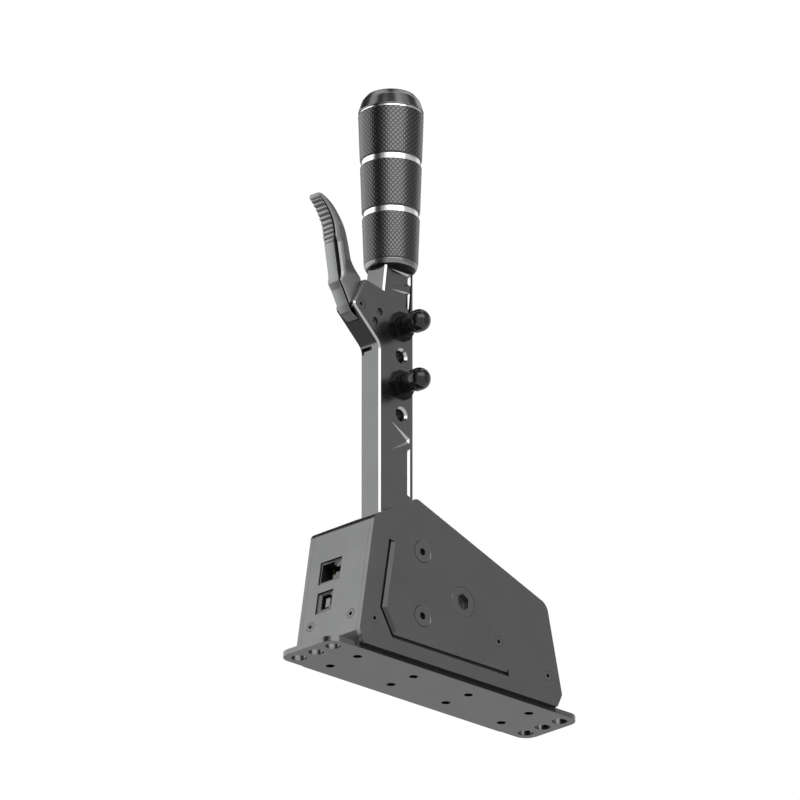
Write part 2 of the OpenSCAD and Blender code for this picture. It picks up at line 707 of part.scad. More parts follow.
module lever_bar() color([0.27, 0.27, 0.28]) difference() {
    slab(-bar_x, bar_x, rounded(bar_outline, bar_r));
    slab(-cheek_gap / 2, cheek_gap / 2, slot_outline);
    both_sides() bar_bevels();
    pivot_bore();
    stop_window();
    yoke_slot();
    rod_x(-bar_t, bar_t, yoke_pin_d + 2 * slip, hole_y, rod_z);
    for (z = hole_z) {
        rod_x(-bar_t, bar_t, cross_hole_d, cross_y, z);
        both_sides() translate([bar_x - cross_sink, cross_y, z]) rotate([0, 90, 0])
            cylinder(h = 2 * cross_sink, d1 = cross_hole_d, d2 = cross_hole_d + 4 * cross_sink);
    }
    rod_x(-bar_t, bar_t, trigger_pin_d + 2 * slip, -trigger_y, trigger_z);
    rod_x(bar_x - 1.2, bar_t, pin_head_d + 0.3, -trigger_y, trigger_z);
    at_switch_screws() {
        cylinder(h = bar_t * 2, d = 2.1, center = true);
        translate([0, 0, bar_x - switch_sink]) cylinder(h = 5, d = switch_head_d + 0.4);
    }
    translate([0, hole_y, foot_z - 1]) cylinder(h = magnet_t + 1, d = magnet_d + 2 * slip);
    translate([0, hole_y, neck_top - grip_bolt_l]) cylinder(h = grip_bolt_l + 1, d = grip_bolt_d + 2 * slip);
    wire_slot();
    side_pockets();
}

// Bevel along the front edges: up the shank, round the bend and out along the cheek, round its corner,
// up its front, and up the neck.
module bar_bevels() {
    shank = [bar_front_y, tail_top + 12];
    bend = [bar_front_y, bend_z];
    edge_bevel(shank, tangent(bend, shank, cheek_front, bend_r));
    bend_bevel(bend, shank, cheek_front, bend_r);
    edge_bevel(tangent(bend, cheek_front, shank, bend_r), tangent(cheek_front, bend, cheek_top, corner_r));
    corner_bevel(cheek_front, bend, cheek_top, corner_r);
    edge_bevel(tangent(cheek_front, cheek_top, bend, corner_r), past(cheek_front, cheek_top, 2));
    edge_bevel(cheek_back, past(cheek_back, neck_front, 1));
}

// Point on the line from a to b, a little past b.
function past(a, b, more) = b + unit(b - a) * more;

// Point on the edge from p to a where a corner of radius r at p, between a and b, starts.
function tangent(p, a, b, r) = p + unit(a - p) * r / tan(acos(unit(a - p) * unit(b - p)) / 2);
function arc_centre(p, a, b, r) = let (u = unit(a - p), v = unit(b - p))
    p + unit(u + v) * r / sin(acos(u * v) / 2);

// Each straight bevel runs on into the next corner by a hair, so that no skin stays between them.
module edge_bevel(a, b) {
    translate([bar_x, a[0], a[1]]) rotate([atan2(b[1] - a[1], b[0] - a[0]) - 90, 0, 0])
        translate([0, 0, -slip]) linear_extrude(norm(b - a) + 2 * slip)
            polygon([[-bar_bevel, -1], [1, -1], [1, bar_bevel], [0, bar_bevel], [-bar_bevel, 0]]);
}

// Bevel round an outer corner: what lies outside a cone, within the corner's own sector.
module corner_bevel(p, a, b, r) {
    c = arc_centre(p, a, b, r);
    difference() {
        slab(bar_x - bar_bevel - 0.3, bar_x + 0.8, sector(p, a, b, r));
        translate([bar_x - bar_bevel - 0.5, c[0], c[1]]) rotate([0, 90, 0])
            cylinder(h = bar_bevel + 1.5, r1 = r + 0.5, r2 = r - bar_bevel - 1);
    }
}

// Bevel round an inner corner: a cone that widens outwards, within the corner's own sector.
module bend_bevel(p, a, b, r) {
    c = arc_centre(p, a, b, r);
    intersection() {
        slab(bar_x - bar_bevel - 1, bar_x + 1, sector(p, a, b, r));
        translate([bar_x - bar_bevel - 0.5, c[0], c[1]]) rotate([0, 90, 0])
            cylinder(h = bar_bevel + 1.4, r1 = r - 0.5, r2 = r + bar_bevel + 0.9);
    }
}

// Kite between a corner's arc centre and its two tangent points, stretched past the corner.
function sector(p, a, b, r) = let (c = arc_centre(p, a, b, r))
    [c, c + (tangent(p, a, b, r) - c) * 1.6, c + (p - c) * 2, c + (tangent(p, b, a, r) - c) * 1.6];

module pivot_bore() {
    rod_x(-bar_t, bar_t, bearing_d - 3, hole_y, pivot_z);
    both_sides() rod_x(bar_x - bearing_w, bar_t, bearing_d + 0.04, hole_y, pivot_z);
}

// Window round the stop shaft, long enough for the lever's swing.
module stop_window() {
    reach = window_reach - window_end_r;
    for (y = [-reach, reach]) rod_x(-bar_t, bar_t, 2 * window_end_r, hole_y + y, stop_z);
    translate([-bar_t, hole_y - reach, stop_z - window_end_r]) cube([2 * bar_t, 2 * reach, 2 * window_end_r]);
}

module yoke_slot() {
    translate([-tang_t / 2 - 0.3, hole_y - tang_h / 2 - yoke_play_y, rod_z - tang_h / 2 - yoke_play_z])
        cube([tang_t + 0.6, tang_h + yoke_play_y + tail_rear, tang_h + 2 * yoke_play_z]);
}

// Slot for the wires, cut across the front where the bar turns out.
module wire_slot() {
    translate([-6.5, bar_front_y - 4, bend_z - 2.4]) cube([8.2, 7, 2.2]);
    translate([-6.5, bar_front_y - 4, bend_z - 4]) cube([1.6, 7, 2.2]);
}

// Slanted shallow pockets on both faces, two on the shank and two on the neck.
pocket_d_max = 1.1;
pocket_rise = 0.3;
module side_pockets() {
    both_sides() {
        pocket(-38.8, -24.1, 152.4, 134.6, 145, 142.1);
        pocket(-39.6, -23.6, 130.6, 115.5, 138.9, 109.4);
        pocket(-38.6, -23.2, 245.6, 235, 245.6, 238.9);
        pocket(-38.6, -23.2, 233.2, 228.4, 234.6, 223.7);
    }
}

// Pocket whose front edge runs from z0 up to z1 at y0, where it starts at no depth, and whose rear
// edge runs from z2 up to z3 at y1, where it is deepest. Its other three walls slope at 45 degrees.
module pocket(y0, y1, z1, z0, z3, z2) {
    d = pocket_d_max;
    g = pocket_rise;
    top = bar_x + g;
    low = bar_x - d;
    y_out = y0 - (y1 - d - y0) * g / d;
    polyhedron(
        [[top, y_out, z1 + (z1 - z3 + d) * g / d], [top, y1 + g, z3 + g], [top, y1 + g, z2 - g],
         [top, y_out, z0 - (z2 + d - z0) * g / d], [low, y1 - d, z3 - d], [low, y1 - d, z2 + d]],
        [[0, 1, 2, 3], [1, 0, 4], [2, 1, 4, 5], [3, 2, 5], [3, 5, 4, 0]]);
}

module lever_bearings() color([0.7, 0.7, 0.72]) both_sides() translate([bar_x - bearing_w, hole_y, pivot_z])
    rotate([0, 90, 0]) rotate_extrude() {
        r0 = shaft_d / 2 + slip;
        r1 = bearing_d / 2;
        polygon([[r0, 0], [r0 + 1.4, 0], [r0 + 1.4, 0.4], [r1 - 1.3, 0.4], [r1 - 1.3, 0], [r1, 0],
                 [r1, bearing_w], [r1 - 1.3, bearing_w], [r1 - 1.3, bearing_w - 0.4],
                 [r0 + 1.4, bearing_w - 0.4], [r0 + 1.4, bearing_w], [r0, bearing_w]]);
    }

module yoke_pin() color("silver") rod_x(-bar_x + 0.2, bar_x - 0.2, yoke_pin_d, hole_y, rod_z);
module magnet() color([0.8, 0.8, 0.8]) translate([0, hole_y, foot_z]) cylinder(h = magnet_t, d = magnet_d);

// Trigger profile round its pivot: down the front from the tip, round the tail, then up the back.
trigger_outline = [
    [-30.3, 61.8], [-25.7, 55.7], [-22.5, 50.4], [-19.7, 44.4], [-18.8, 35.1], [-17.4, 24.9], [-15.8, 14.3],
    [-15.8, 11.3], [-12.5, 7.5], [-8.6, 1], [-7.8, -1.2], [1.7, -8.4], [5.2, -5.3], [8.1, -0.3],
    [9.3, 1.6], [7.7, 4.1], [3.9, 10.1], [3.4, 17.4], [-1.2, 20.2], [-3.2, 26.2],
    [-4.8, 34.5], [-6.4, 42.6], [-8.8, 47.4], [-13.3, 52.6], [-19.2, 58.3], [-24.4, 61.5], [-27, 62.4],
];
trigger_r = [0.4, 10, 10, 10, 20, 20, 1, 0.5, 1, 1, 3, 0.5, 1, 0, 0.6, 1, 4, 2, 3, 10, 20, 10, 10, 10, 10, 4, 1];
trigger_w = cheek_gap - 2 * trigger_play;
pad_front = [[-30.3, 61.8], [-25.7, 55.7], [-19.7, 44.4], [-18.8, 35.1]];
pad_back = [[-16.1, 34.6], [-16.8, 43.6], [-23, 55.9], [-28.4, 62.4]];
flank_path = [[-15.5, 44.3], [-15.3, 34.1], [-14.1, 24.1], [-12.5, 14.4]];
rib_gap = 1.5;
trigger_spring_pocket_d = 9.6;
trigger_spring_l = 3;
pin_head_d = 6.4;

module trigger() color([0.33, 0.33, 0.34]) translate([0, -trigger_y, trigger_z]) difference() {
    union() {
        slab(-trigger_w / 2, trigger_w / 2, rounded(trigger_outline, trigger_r, 4));
        slab(-pad_w / 2, pad_w / 2, concat(pad_front, pad_back));
    }
    for (i = [0:rib_count - 1]) rib_groove(i);
    both_sides() translate([trigger_w / 2, 0, 0]) flank_groove();
    rod_x(-bar_t, bar_t, trigger_pin_d + 2 * slip, 0, 0);
    rod_x(-bar_t, -trigger_w / 2 + trigger_spring_l + 0.4, trigger_spring_pocket_d, 0, 0);
}

// Point on the front of the pad, at a share t of the way from its tip to its lower end.
function pad_point(t) = let (
        lengths = [for (i = [0:2]) norm(pad_front[i + 1] - pad_front[i])],
        s = t * (lengths[0] + lengths[1] + lengths[2]),
        i = s < lengths[0] ? 0 : s < lengths[0] + lengths[1] ? 1 : 2,
        before = i == 0 ? 0 : i == 1 ? lengths[0] : lengths[0] + lengths[1])
    pad_front[i] + (pad_front[i + 1] - pad_front[i]) * (s - before) / lengths[i];

module rib_groove(i) {
    p = pad_point((i + 0.9) / (rib_count + 0.8));
    rod_x(-pad_w, pad_w, rib_gap, p[0] - 0.25, p[1]);
}

// Thin groove behind the front face, on each flank.
module flank_groove() {
    other = beside(flank_path, 1.1);
    slab(-0.8, 0.8, concat(flank_path, [for (i = [3:-1:0]) other[i]]));
}

module trigger_pin() color([0.15, 0.15, 0.16]) difference() {
    union() {
        rod_x(-bar_x + 0.3, bar_x - 1.1, trigger_pin_d, -trigger_y, trigger_z);
        rod_x(bar_x - 1.2, bar_x - 0.1, pin_head_d, -trigger_y, trigger_z);
    }
    translate([bar_x - 1, -trigger_y, trigger_z]) rotate([0, 90, 0])
        cylinder(h = 2, d = small_socket / cos(30), $fn = 6);
}

module trigger_spring() color("silver")
    translate([-trigger_w / 2 + 0.2, -trigger_y, trigger_z]) rotate([0, 90, 0])
        coil(trigger_spring_l, 3.1, 0.4, 3, 16, 6);

// Switch in the slot, square to the line through its two screws.
switch_c = [-49.5, 213.6];
switch_lean = 29.6;
switch_sink = 3;
switch_head_d = 4;
module on_switch() { translate([0, switch_c[0], switch_c[1]]) rotate([-switch_lean, 0, 0]) children(); }
module at_switch_screws() {
    for (s = [-1, 1]) on_switch() translate([0, 0, s * 3.75]) rotate([0, 90, 0]) children();
}

module trigger_switch() color([0.08, 0.08, 0.08]) difference() {
    on_switch() {
        translate([-2.9, -3.2, -6.4]) cube([5.8, 6.4, 12.8]);
        translate([-1.5, -4.6, -0.2]) cube([3, 1.5, 2.2]);
    }
    at_switch_screws() cylinder(h = 20, d = 2.1, center = true);
}

module switch_screws() color([0.1, 0.1, 0.1]) at_switch_screws() difference() {
    union() {
        translate([0, 0, bar_x - switch_sink]) cylinder(h = 1.6, d = switch_head_d);
        translate([0, 0, -6]) cylinder(h = bar_x + 6.1 - switch_sink, d = 2);
    }
    translate([0, 0, bar_x - switch_sink + 0.6]) cylinder(h = 2, d = 1.6 / cos(30), $fn = 6);
}

// Push button, drawn along +X from the bar's right face at the cross hole.
button_bore_d = 5.1;
button_bore_x = -2;
stem_end_x = 3;
collar_x = bar_x + hex_h;
cap_x = collar_x + collar_h - 0.5;
module on_hole(i) { translate([0, cross_y, button_z[i]]) children(); }

module button_body(i) color([0.08, 0.08, 0.08]) on_hole(i) difference() {
    union() {
        translate([bar_x, 0, 0]) rotate([0, 90, 0]) rotate([0, 0, 30])
            cylinder(h = hex_h, d = hex_d, $fn = 6);
        rod_x(bar_x, collar_x + collar_h, collar_d, 0, 0);
        rod_x(-bar_x - 3, bar_x + e, cross_hole_d - 0.2, 0, 0);
        rod_x(-bar_x - 5.5, -bar_x, 5.6, 0, 0);
        translate([-bar_x - 3, 0, 0]) rotate([0, 90, 0]) cylinder(h = 2.95, d = 12.5, $fn = 6);
    }
    rod_x(button_bore_x, bar_t * 3, button_bore_d, 0, 0);
}

module button_cap(i) color([0.03, 0.03, 0.03]) on_hole(i) difference() {
    union() {
        rod_x(cap_x, cap_x + cap_h, cap_d, 0, 0);
        intersection() {
            translate([cap_x + cap_h, 0, 0]) sphere(d = cap_d);
            rod_x(cap_x + cap_h, cap_x + cap_h + cap_d, cap_d + 2, 0, 0);
        }
        rod_x(stem_end_x, cap_x + cap_h, button_bore_d - 2 * slip, 0, 0);
    }
    difference() {
        rod_x(cap_x - 1, collar_x + collar_h + press + 0.6, collar_d + 0.5, 0, 0);
        rod_x(cap_x - 2, collar_x + collar_h + press + 1, button_bore_d - 2 * slip, 0, 0);
    }
}

module button_spring(i) color("silver") on_hole(i)
    translate([button_bore_x, 0, 0]) rotate([0, 90, 0]) coil(stem_end_x - button_bore_x, 1.9, 0.3, 4, 12, 6);

module button_upper_body() button_body(0);
module button_upper_cap() button_cap(0);
module button_upper_spring() button_spring(0);
module button_lower_body() button_body(1);
module button_lower_cap() button_cap(1);
module button_lower_spring() button_spring(1);

// Ring of the grip between two heights, as wide as the grip is there less a sink, with a bore.
module grip_part(z0, z1, sink, bore_r) translate([0, hole_y, 0]) difference() {
    translate([0, 0, z0]) cylinder(h = z1 - z0, r1 = grip_radius(z0) - sink, r2 = grip_radius(z1) - sink);
    translate([0, 0, z0 - 1]) cylinder(h = z1 - z0 + 2, r = bore_r);
}

module grip_end_ring() color([0.06, 0.06, 0.06]) difference() {
    translate([0, hole_y, grip_z]) rotate_extrude() polygon(concat([[0, 0]], corner([grip_r - 0.1, 0],
            [0, 0], [grip_r, end_ring_h], end_ring_r, 5), [[grip_r, end_ring_h], [0, end_ring_h]]));
    neck_hole();
}

// Hole for the neck, bevelled as the neck is.
module neck_hole() {
    x = bar_x + 0.1;
    y0 = neck_front[0] - 0.2;
    y1 = bar_rear_y + 0.1;
    translate([0, 0, grip_z - 1]) linear_extrude(40) polygon([[-x, y1], [-x, y0 + bar_bevel],
        [bar_bevel - x, y0], [x - bar_bevel, y0], [x, y0 + bar_bevel], [x, y1]]);
}

module grip_collar() color([0.33, 0.33, 0.34]) grip_part(collar_z, sleeve_z[0], 0, core_r + 2.2);

module grip_core() color("silver") difference() {
    translate([0, hole_y, 0]) {
        translate([0, 0, neck_top + 0.2]) cylinder(h = dome_z - neck_top - 0.2, r = core_r);
        translate([0, 0, collar_z]) cylinder(h = neck_top - collar_z + 1, r = core_r + 2.15);
    }
    intersection() {
        neck_hole();
        translate([-50, -100, grip_z - 2]) cube([100, 100, neck_top - grip_z + 2.2]);
    }
    translate([0, hole_y, neck_top]) cylinder(h = 2 * dome_z, d = grip_bolt_d + 2 * slip);
}

module sleeve(i) color([0.2, 0.2, 0.21]) translate([0, hole_y, 0]) difference() {
    z0 = sleeve_z[i];
    z1 = z0 + sleeve_h;
    translate([0, 0, z0]) cylinder(h = sleeve_h, r1 = grip_radius(z0), r2 = grip_radius(z1));
    translate([0, 0, z0 - 1]) cylinder(h = sleeve_h + 2, r = core_r + slip);
    if (i == 0) translate([0, 0, z0 - 1]) cylinder(h = neck_top - z0 + 2.2, r = core_r + 2.2);
}

module sleeve_lower() sleeve(0);
module sleeve_middle() sleeve(1);
module sleeve_upper() sleeve(2);

module bright_ring(z0, z1) color([0.85, 0.85, 0.86]) grip_part(z0, z1, ring_sink, core_r + slip);
module ring_lower() bright_ring(sleeve_z[0] + sleeve_h, sleeve_z[1]);
module ring_middle() bright_ring(sleeve_z[1] + sleeve_h, sleeve_z[2]);
module ring_top() bright_ring(top_ring_z, dome_z);

// Domed cap: it narrows to a shoulder, then turns over to a nearly flat top. Hollow for the bolt's head.
module grip_cap() color([0.05, 0.05, 0.05]) translate([0, hole_y, dome_z]) difference() {
    r = grip_radius(dome_z);
    rotate_extrude() polygon(rounded(
        [[0, 0], [r, 0], [r - dome_lean, dome_h * 0.62], [dome_top_r, dome_h - 0.2], [0, dome_h]],
        [0, 0, dome_shoulder_r, 4, 0]));
    translate([0, 0, -1]) cylinder(h = grip_head_h + 2.5, d = grip_head_d + 3);
}

module grip_bolt() color("silver") translate([0, hole_y, 0]) difference() {
    union() {
        translate([0, 0, neck_top - grip_bolt_l + 1])
            cylinder(h = dome_z - neck_top + grip_bolt_l - 1, d = grip_bolt_d);
        translate([0, 0, dome_z]) cylinder(h = grip_head_h, d = grip_head_d);
    }
    translate([0, 0, dome_z + grip_head_h / 2]) cylinder(h = grip_head_h, d = grip_socket / cos(30), $fn = 6);
}

base_frame();
side_plate_right();
side_plate_left();
cover();
side_screws();
cover_screws();
shaft_screws();
guide_bolts();
cross_spacer();
pivot_shaft();
stop_shaft();
pivot_spacers();
stop_bumper();
guide_block();
rod_bush();
spring_rod();
rod_nuts();
front_spring();
rear_spring();
control_board();
board_standoffs();
board_screws();
board_chips();
flat_jack();
jack_contacts();
data_jack();
data_tongue();
sensor_board();
sensor_chip();
sensor_standoffs();
sensor_screws();
lever_bar();
lever_bearings();
yoke_pin();
magnet();
trigger();
trigger_pin();
trigger_spring();
trigger_switch();
switch_screws();
button_upper_body();
button_upper_cap();
button_upper_spring();
button_lower_body();
button_lower_cap();
button_lower_spring();
grip_end_ring();
grip_collar();
grip_core();
sleeve_lower();
ring_lower();
sleeve_middle();
ring_middle();
sleeve_upper();
ring_top();
grip_cap();
grip_bolt();
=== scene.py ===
# %% [markdown]
# # Dressing a racing shifter for its portrait
#
# The object is a lever for a driving simulator: a knurled grip on a flat bar, a trigger in front of
# the grip, two push buttons on the side, and a low housing of plates that bolts to a rig.
# Its construction was drawn elsewhere and arrives here as a fixed frame, in metres, with +Z up, the
# ports at -Y and the buttons at +X. This lesson gives that frame its finish: metal that looks
# anodised, a grip that looks knurled, edges that catch the light.
#
# The first cell only opens the frame and can measure the box of any of its parts.

import json
import math

import bmesh
import bpy
import numpy as np
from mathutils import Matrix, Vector

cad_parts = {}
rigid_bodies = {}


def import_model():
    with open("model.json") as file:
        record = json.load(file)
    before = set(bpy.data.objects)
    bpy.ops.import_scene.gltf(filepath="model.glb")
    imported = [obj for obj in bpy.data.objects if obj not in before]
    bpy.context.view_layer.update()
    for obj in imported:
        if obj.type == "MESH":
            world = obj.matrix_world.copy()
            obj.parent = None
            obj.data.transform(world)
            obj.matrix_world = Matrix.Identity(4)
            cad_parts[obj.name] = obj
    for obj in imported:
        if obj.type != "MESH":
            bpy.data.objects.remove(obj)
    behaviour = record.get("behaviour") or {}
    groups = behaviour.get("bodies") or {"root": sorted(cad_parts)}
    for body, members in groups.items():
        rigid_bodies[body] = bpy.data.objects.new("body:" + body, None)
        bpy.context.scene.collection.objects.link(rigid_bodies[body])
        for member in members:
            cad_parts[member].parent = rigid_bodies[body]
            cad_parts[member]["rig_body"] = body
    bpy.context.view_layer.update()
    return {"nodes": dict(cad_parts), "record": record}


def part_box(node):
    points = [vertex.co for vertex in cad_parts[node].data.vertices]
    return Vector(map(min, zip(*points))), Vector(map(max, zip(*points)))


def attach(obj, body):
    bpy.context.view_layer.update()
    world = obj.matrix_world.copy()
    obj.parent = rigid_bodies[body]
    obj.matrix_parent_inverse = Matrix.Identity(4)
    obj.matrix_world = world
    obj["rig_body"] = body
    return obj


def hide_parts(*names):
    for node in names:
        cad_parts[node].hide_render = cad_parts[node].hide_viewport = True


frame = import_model()
MM = 0.001

# %% [markdown]
# ## The camera
#
# The product was photographed from below its base with a very long lens, so parallel edges stay
# parallel. A long lens far away does the same here. Three numbers fix the view: how far round the
# object the camera stands, how far below the horizon, and how many metres the picture is wide at
# the object.

# %% Camera
VIEW_AZIMUTH = math.radians(45.55)
VIEW_ELEVATION = math.radians(-20.37)
VIEW_WIDTH = 0.4585
VIEW_CENTRE = np.array([0.02934, -0.05265, 0.15568])
LENS_MM = 1200.0
SENSOR_MM = 36.0


def direction(turn, rise):
    """Unit vector at a turn about Z and a rise above the horizon, in degrees; turn 0 points at the
    camera, and a positive turn goes to the picture's right."""
    a = VIEW_AZIMUTH + math.radians(turn)
    e = math.radians(rise)
    return np.array([math.sin(a) * math.cos(e), -math.cos(a) * math.cos(e), math.sin(e)])


def link(thing):
    bpy.context.scene.collection.objects.link(thing)
    return thing


def make_camera():
    data = bpy.data.cameras.new("camera")
    data.lens = LENS_MM
    data.sensor_width = SENSOR_MM
    data.clip_end = 50.0
    camera = link(bpy.data.objects.new("camera", data))
    back = direction(0, math.degrees(VIEW_ELEVATION))
    camera.location = VIEW_CENTRE + back * VIEW_WIDTH * LENS_MM / SENSOR_MM
    camera.rotation_euler = Vector(back).to_track_quat("Z", "Y").to_euler()
    bpy.context.scene.camera = camera
    print("camera stands", round((camera.location - Vector(VIEW_CENTRE)).length, 3), "m away")


make_camera()

# %% [markdown]
# ## From arrays to a mesh
#
# Every new piece below is one grid of points: so many rows, so many columns, worked out as whole
# numpy arrays. A grid may close on itself along its rows, its columns or both. Both closed gives a
# ring with no edge at all, which is what a sleeve with a bore is. Typing vertices by hand would be
# slower and could not be changed with one number.


# %% Grid to mesh
def grid_faces(rows, columns, close_rows=False, close_columns=True):
    """Corner numbers of the four-sided faces between neighbouring points of a rows x columns grid."""
    r = np.arange(rows if close_rows else rows - 1)[:, None]
    c = np.arange(columns if close_columns else columns - 1)[None, :]
    up = (r + 1) % rows
    on = (c + 1) % columns
    quads = np.stack([r * columns + c, r * columns + on, up * columns + on, up * columns + c], -1)
    return quads.reshape(-1, 4)


def mesh_of(name, points, quads, smooth=True):
    """An object at the origin whose mesh has these points, in metres, and these faces."""
    mesh = bpy.data.meshes.new(name)
    mesh.from_pydata(points.reshape(-1, 3), [], quads)
    mesh.polygons.foreach_set("use_smooth", np.full(len(quads), smooth))
    mesh.update()
    return link(bpy.data.objects.new(name, mesh))


MERGE = 0.0001 * MM


def outward(piece):
    """Merges doubled points and turns every face outwards."""
    work = bmesh.new()
    work.from_mesh(piece.data)
    bmesh.ops.remove_doubles(work, verts=work.verts, dist=MERGE)
    bmesh.ops.recalc_face_normals(work, faces=work.faces)
    work.to_mesh(piece.data)
    work.free()
    piece.data.update()
    return piece


def keep_creases(piece, degrees):
    """Smooth shading, but with a crease wherever two faces meet at more than this angle."""
    mesh = piece.data
    mesh.polygons.foreach_set("use_smooth", np.ones(len(mesh.polygons), bool))
    mesh.set_sharp_from_angle(angle=math.radians(degrees))
    return piece


# %% [markdown]
# ## The studio
#
# The photograph is a white packshot seen from under the base, so the floor must not hide the
# object: it is a pale floor that shows to a camera above it and keeps the object's shadow, and that
# a camera below it looks through. The white background is the world itself, at a strength of 1 to
# whatever looks straight at it or sees it in a reflection.
#
# Satin metal shows its surroundings more than its own colour. Photographers shape those
# surroundings with soft boxes and cards, and so does this cell: each card is a patch of a sphere
# round the object that only reflections can see.

# %% Floor, world, cards and lamps
FLOOR_HALF = 3.0
FLOOR_DROP = 0.0004
CARD_RADIUS = 1.3


def wire(tree, a, out, b, into):
    tree.links.new(a.outputs[out], b.inputs[into])


def make_floor():
    """A square just under the base. Rays from the camera above it see a matt pale surface, all
    others pass through."""
    corners = np.array([[-1, -1], [1, -1], [1, 1], [-1, 1]]) * FLOOR_HALF
    points = np.column_stack([corners, np.full(4, -FLOOR_DROP)])
    floor = mesh_of("floor", points, np.array([[0, 1, 2, 3]]), smooth=False)
    material = bpy.data.materials.new("pale_floor")
    material.use_nodes = True
    tree = material.node_tree
    tree.nodes.clear()
    path = tree.nodes.new("ShaderNodeLightPath")
    side = tree.nodes.new("ShaderNodeNewGeometry")
    above = tree.nodes.new("ShaderNodeMath")
    above.operation = "SUBTRACT"
    above.use_clamp = True
    matt = tree.nodes.new("ShaderNodeBsdfDiffuse")
    matt.inputs["Color"].default_value = (0.86, 0.86, 0.86, 1)
    clear = tree.nodes.new("ShaderNodeBsdfTransparent")
    mix = tree.nodes.new("ShaderNodeMixShader")
    out = tree.nodes.new("ShaderNodeOutputMaterial")
    wire(tree, path, "Is Camera Ray", above, 0)
    wire(tree, side, "Backfacing", above, 1)
    wire(tree, above, 0, mix, 0)
    wire(tree, clear, 0, mix, 1)
    wire(tree, matt, 0, mix, 2)
    wire(tree, mix, 0, out, "Surface")
    floor.data.materials.append(material)


def make_world():
    """White where the camera, a reflection or glass looks at it, and a soft grey for plain light."""
    world = bpy.data.worlds.new("studio")
    bpy.context.scene.world = world
    world.use_nodes = True
    tree = world.node_tree
    tree.nodes.clear()
    path = tree.nodes.new("ShaderNodeLightPath")
    seen = tree.nodes.new("ShaderNodeMath")
    seen.operation = "MAXIMUM"
    also = tree.nodes.new("ShaderNodeMath")
    also.operation = "MAXIMUM"
    plain = tree.nodes.new("ShaderNodeBackground")
    plain.inputs["Color"].default_value = (0.75, 0.76, 0.78, 1)
    plain.inputs["Strength"].default_value = 0.55
    white = tree.nodes.new("ShaderNodeBackground")
    white.inputs["Color"].default_value = (1, 1, 1, 1)
    white.inputs["Strength"].default_value = 1.0
    mix = tree.nodes.new("ShaderNodeMixShader")
    out = tree.nodes.new("ShaderNodeOutputWorld")
    wire(tree, path, "Is Camera Ray", seen, 0)
    wire(tree, path, "Is Glossy Ray", seen, 1)
    wire(tree, seen, 0, also, 0)
    wire(tree, path, "Is Transmission Ray", also, 1)
    wire(tree, also, 0, mix, 0)
    wire(tree, plain, 0, mix, 1)
    wire(tree, white, 0, mix, 2)
    wire(tree, mix, 0, out, "Surface")


def make_card(name, turns, rises, grey, radius=CARD_RADIUS):
    """A patch of a sphere round the object, between two turns and two rises in degrees, that glows
    with an even grey and that only reflections see."""
    t = np.radians(np.linspace(*turns, 25))[None, :] + VIEW_AZIMUTH
    e = np.radians(np.linspace(*rises, 13))[:, None]
    flat = np.cos(e) * radius
    points = np.stack([np.sin(t) * flat, -np.cos(t) * flat, np.sin(e) * radius + 0 * t], -1)
    points = points + VIEW_CENTRE
    card = mesh_of(name, points, grid_faces(13, 25, close_columns=False))
    material = bpy.data.materials.new(name)
    material.use_nodes = True
    tree = material.node_tree
    tree.nodes.clear()
    glow = tree.nodes.new("ShaderNodeEmission")
    glow.inputs["Color"].default_value = (grey, grey, grey, 1)
    out = tree.nodes.new("ShaderNodeOutputMaterial")
    wire(tree, glow, 0, out, "Surface")
    card.data.materials.append(material)
    card.visible_camera = False
    card.visible_diffuse = False
    card.visible_transmission = False
    card.visible_shadow = False


def make_softbox(name, turn, rise, distance, width, height, brightness):
    """A square lamp that faces the object. Brightness is how bright its face looks, where white
    paper in plain light is 1, so its power is that times pi times its area."""
    data = bpy.data.lights.new(name, "AREA")
    data.shape = "RECTANGLE"
    data.size = width
    data.size_y = height
    data.energy = brightness * math.pi * width * height
    lamp = link(bpy.data.objects.new(name, data))
    way = direction(turn, rise)
    lamp.location = VIEW_CENTRE + way * distance
    lamp.rotation_euler = Vector(way).to_track_quat("Z", "Y").to_euler()


make_floor()
make_world()
make_softbox("key_softbox", 22, 32, 1.5, 1.8, 0.9, 2.1)
make_softbox("left_softbox", -108, 7, 1.6, 1.9, 1.66, 0.76)
make_card("black_flag", (-70, -42), (-40, 75), 0.02)
make_card("grey_flag", (-43, -26), (-40, 75), 0.35)
make_card("grey_card_right", (54, 118), (-25, 70), 0.6)
make_card("dark_card_behind", (87, 126), (29, 64), 0.1, 1.2)
make_card("dark_card_low", (-150, -62), (-75, -21), 0.22)
make_card("dark_card_high", (-180, -104), (36, 55), 0.02)
make_card("dark_card_top", (-24, 24), (56, 90), 0.03)
make_card("dark_card_back", (158, 204), (22, 90), 0.05)
make_card("grey_card_far", (148, 212), (-62, 8), 0.62)

# %% [markdown]
# ## Finishes
#
# Each finish is a small network of nodes around one Principled shader. Plain numbers, such as how
# metallic a thing is, go on the shader itself. What varies over the surface is worked out from the
# Object coordinates in metres, so that a pattern keeps its real scale on any piece.
#
# The plates, the bar and the trigger are bead-blasted aluminium, anodised dark grey: a metal with a
# fine grain of about 0.2 mm, and a slightly uneven sheen. Rings and shafts are bare metal whose noise
# is drawn out into fine lines, the way the tool went. The knurl's finish reads a number that each
# vertex of the sleeves carries and paints shade with it, dark in the grooves and lighter on the
# tops, so that this painted shade and the relief can't drift apart, as a second pattern made from
# coordinates might.


# %% Node helpers
def new_finish(name, colour, metallic, roughness, **sockets):
    """A material with its Principled shader set to these plain values."""
    material = bpy.data.materials.new(name)
    material.use_nodes = True
    tree = material.node_tree
    shader = tree.nodes["Principled BSDF"]
    shader.inputs["Base Color"].default_value = (*colour, 1)
    shader.inputs["Metallic"].default_value = metallic
    shader.inputs["Roughness"].default_value = roughness
    for socket, value in sockets.items():
        shader.inputs[socket.replace("_", " ")].default_value = value
    return material, tree, shader


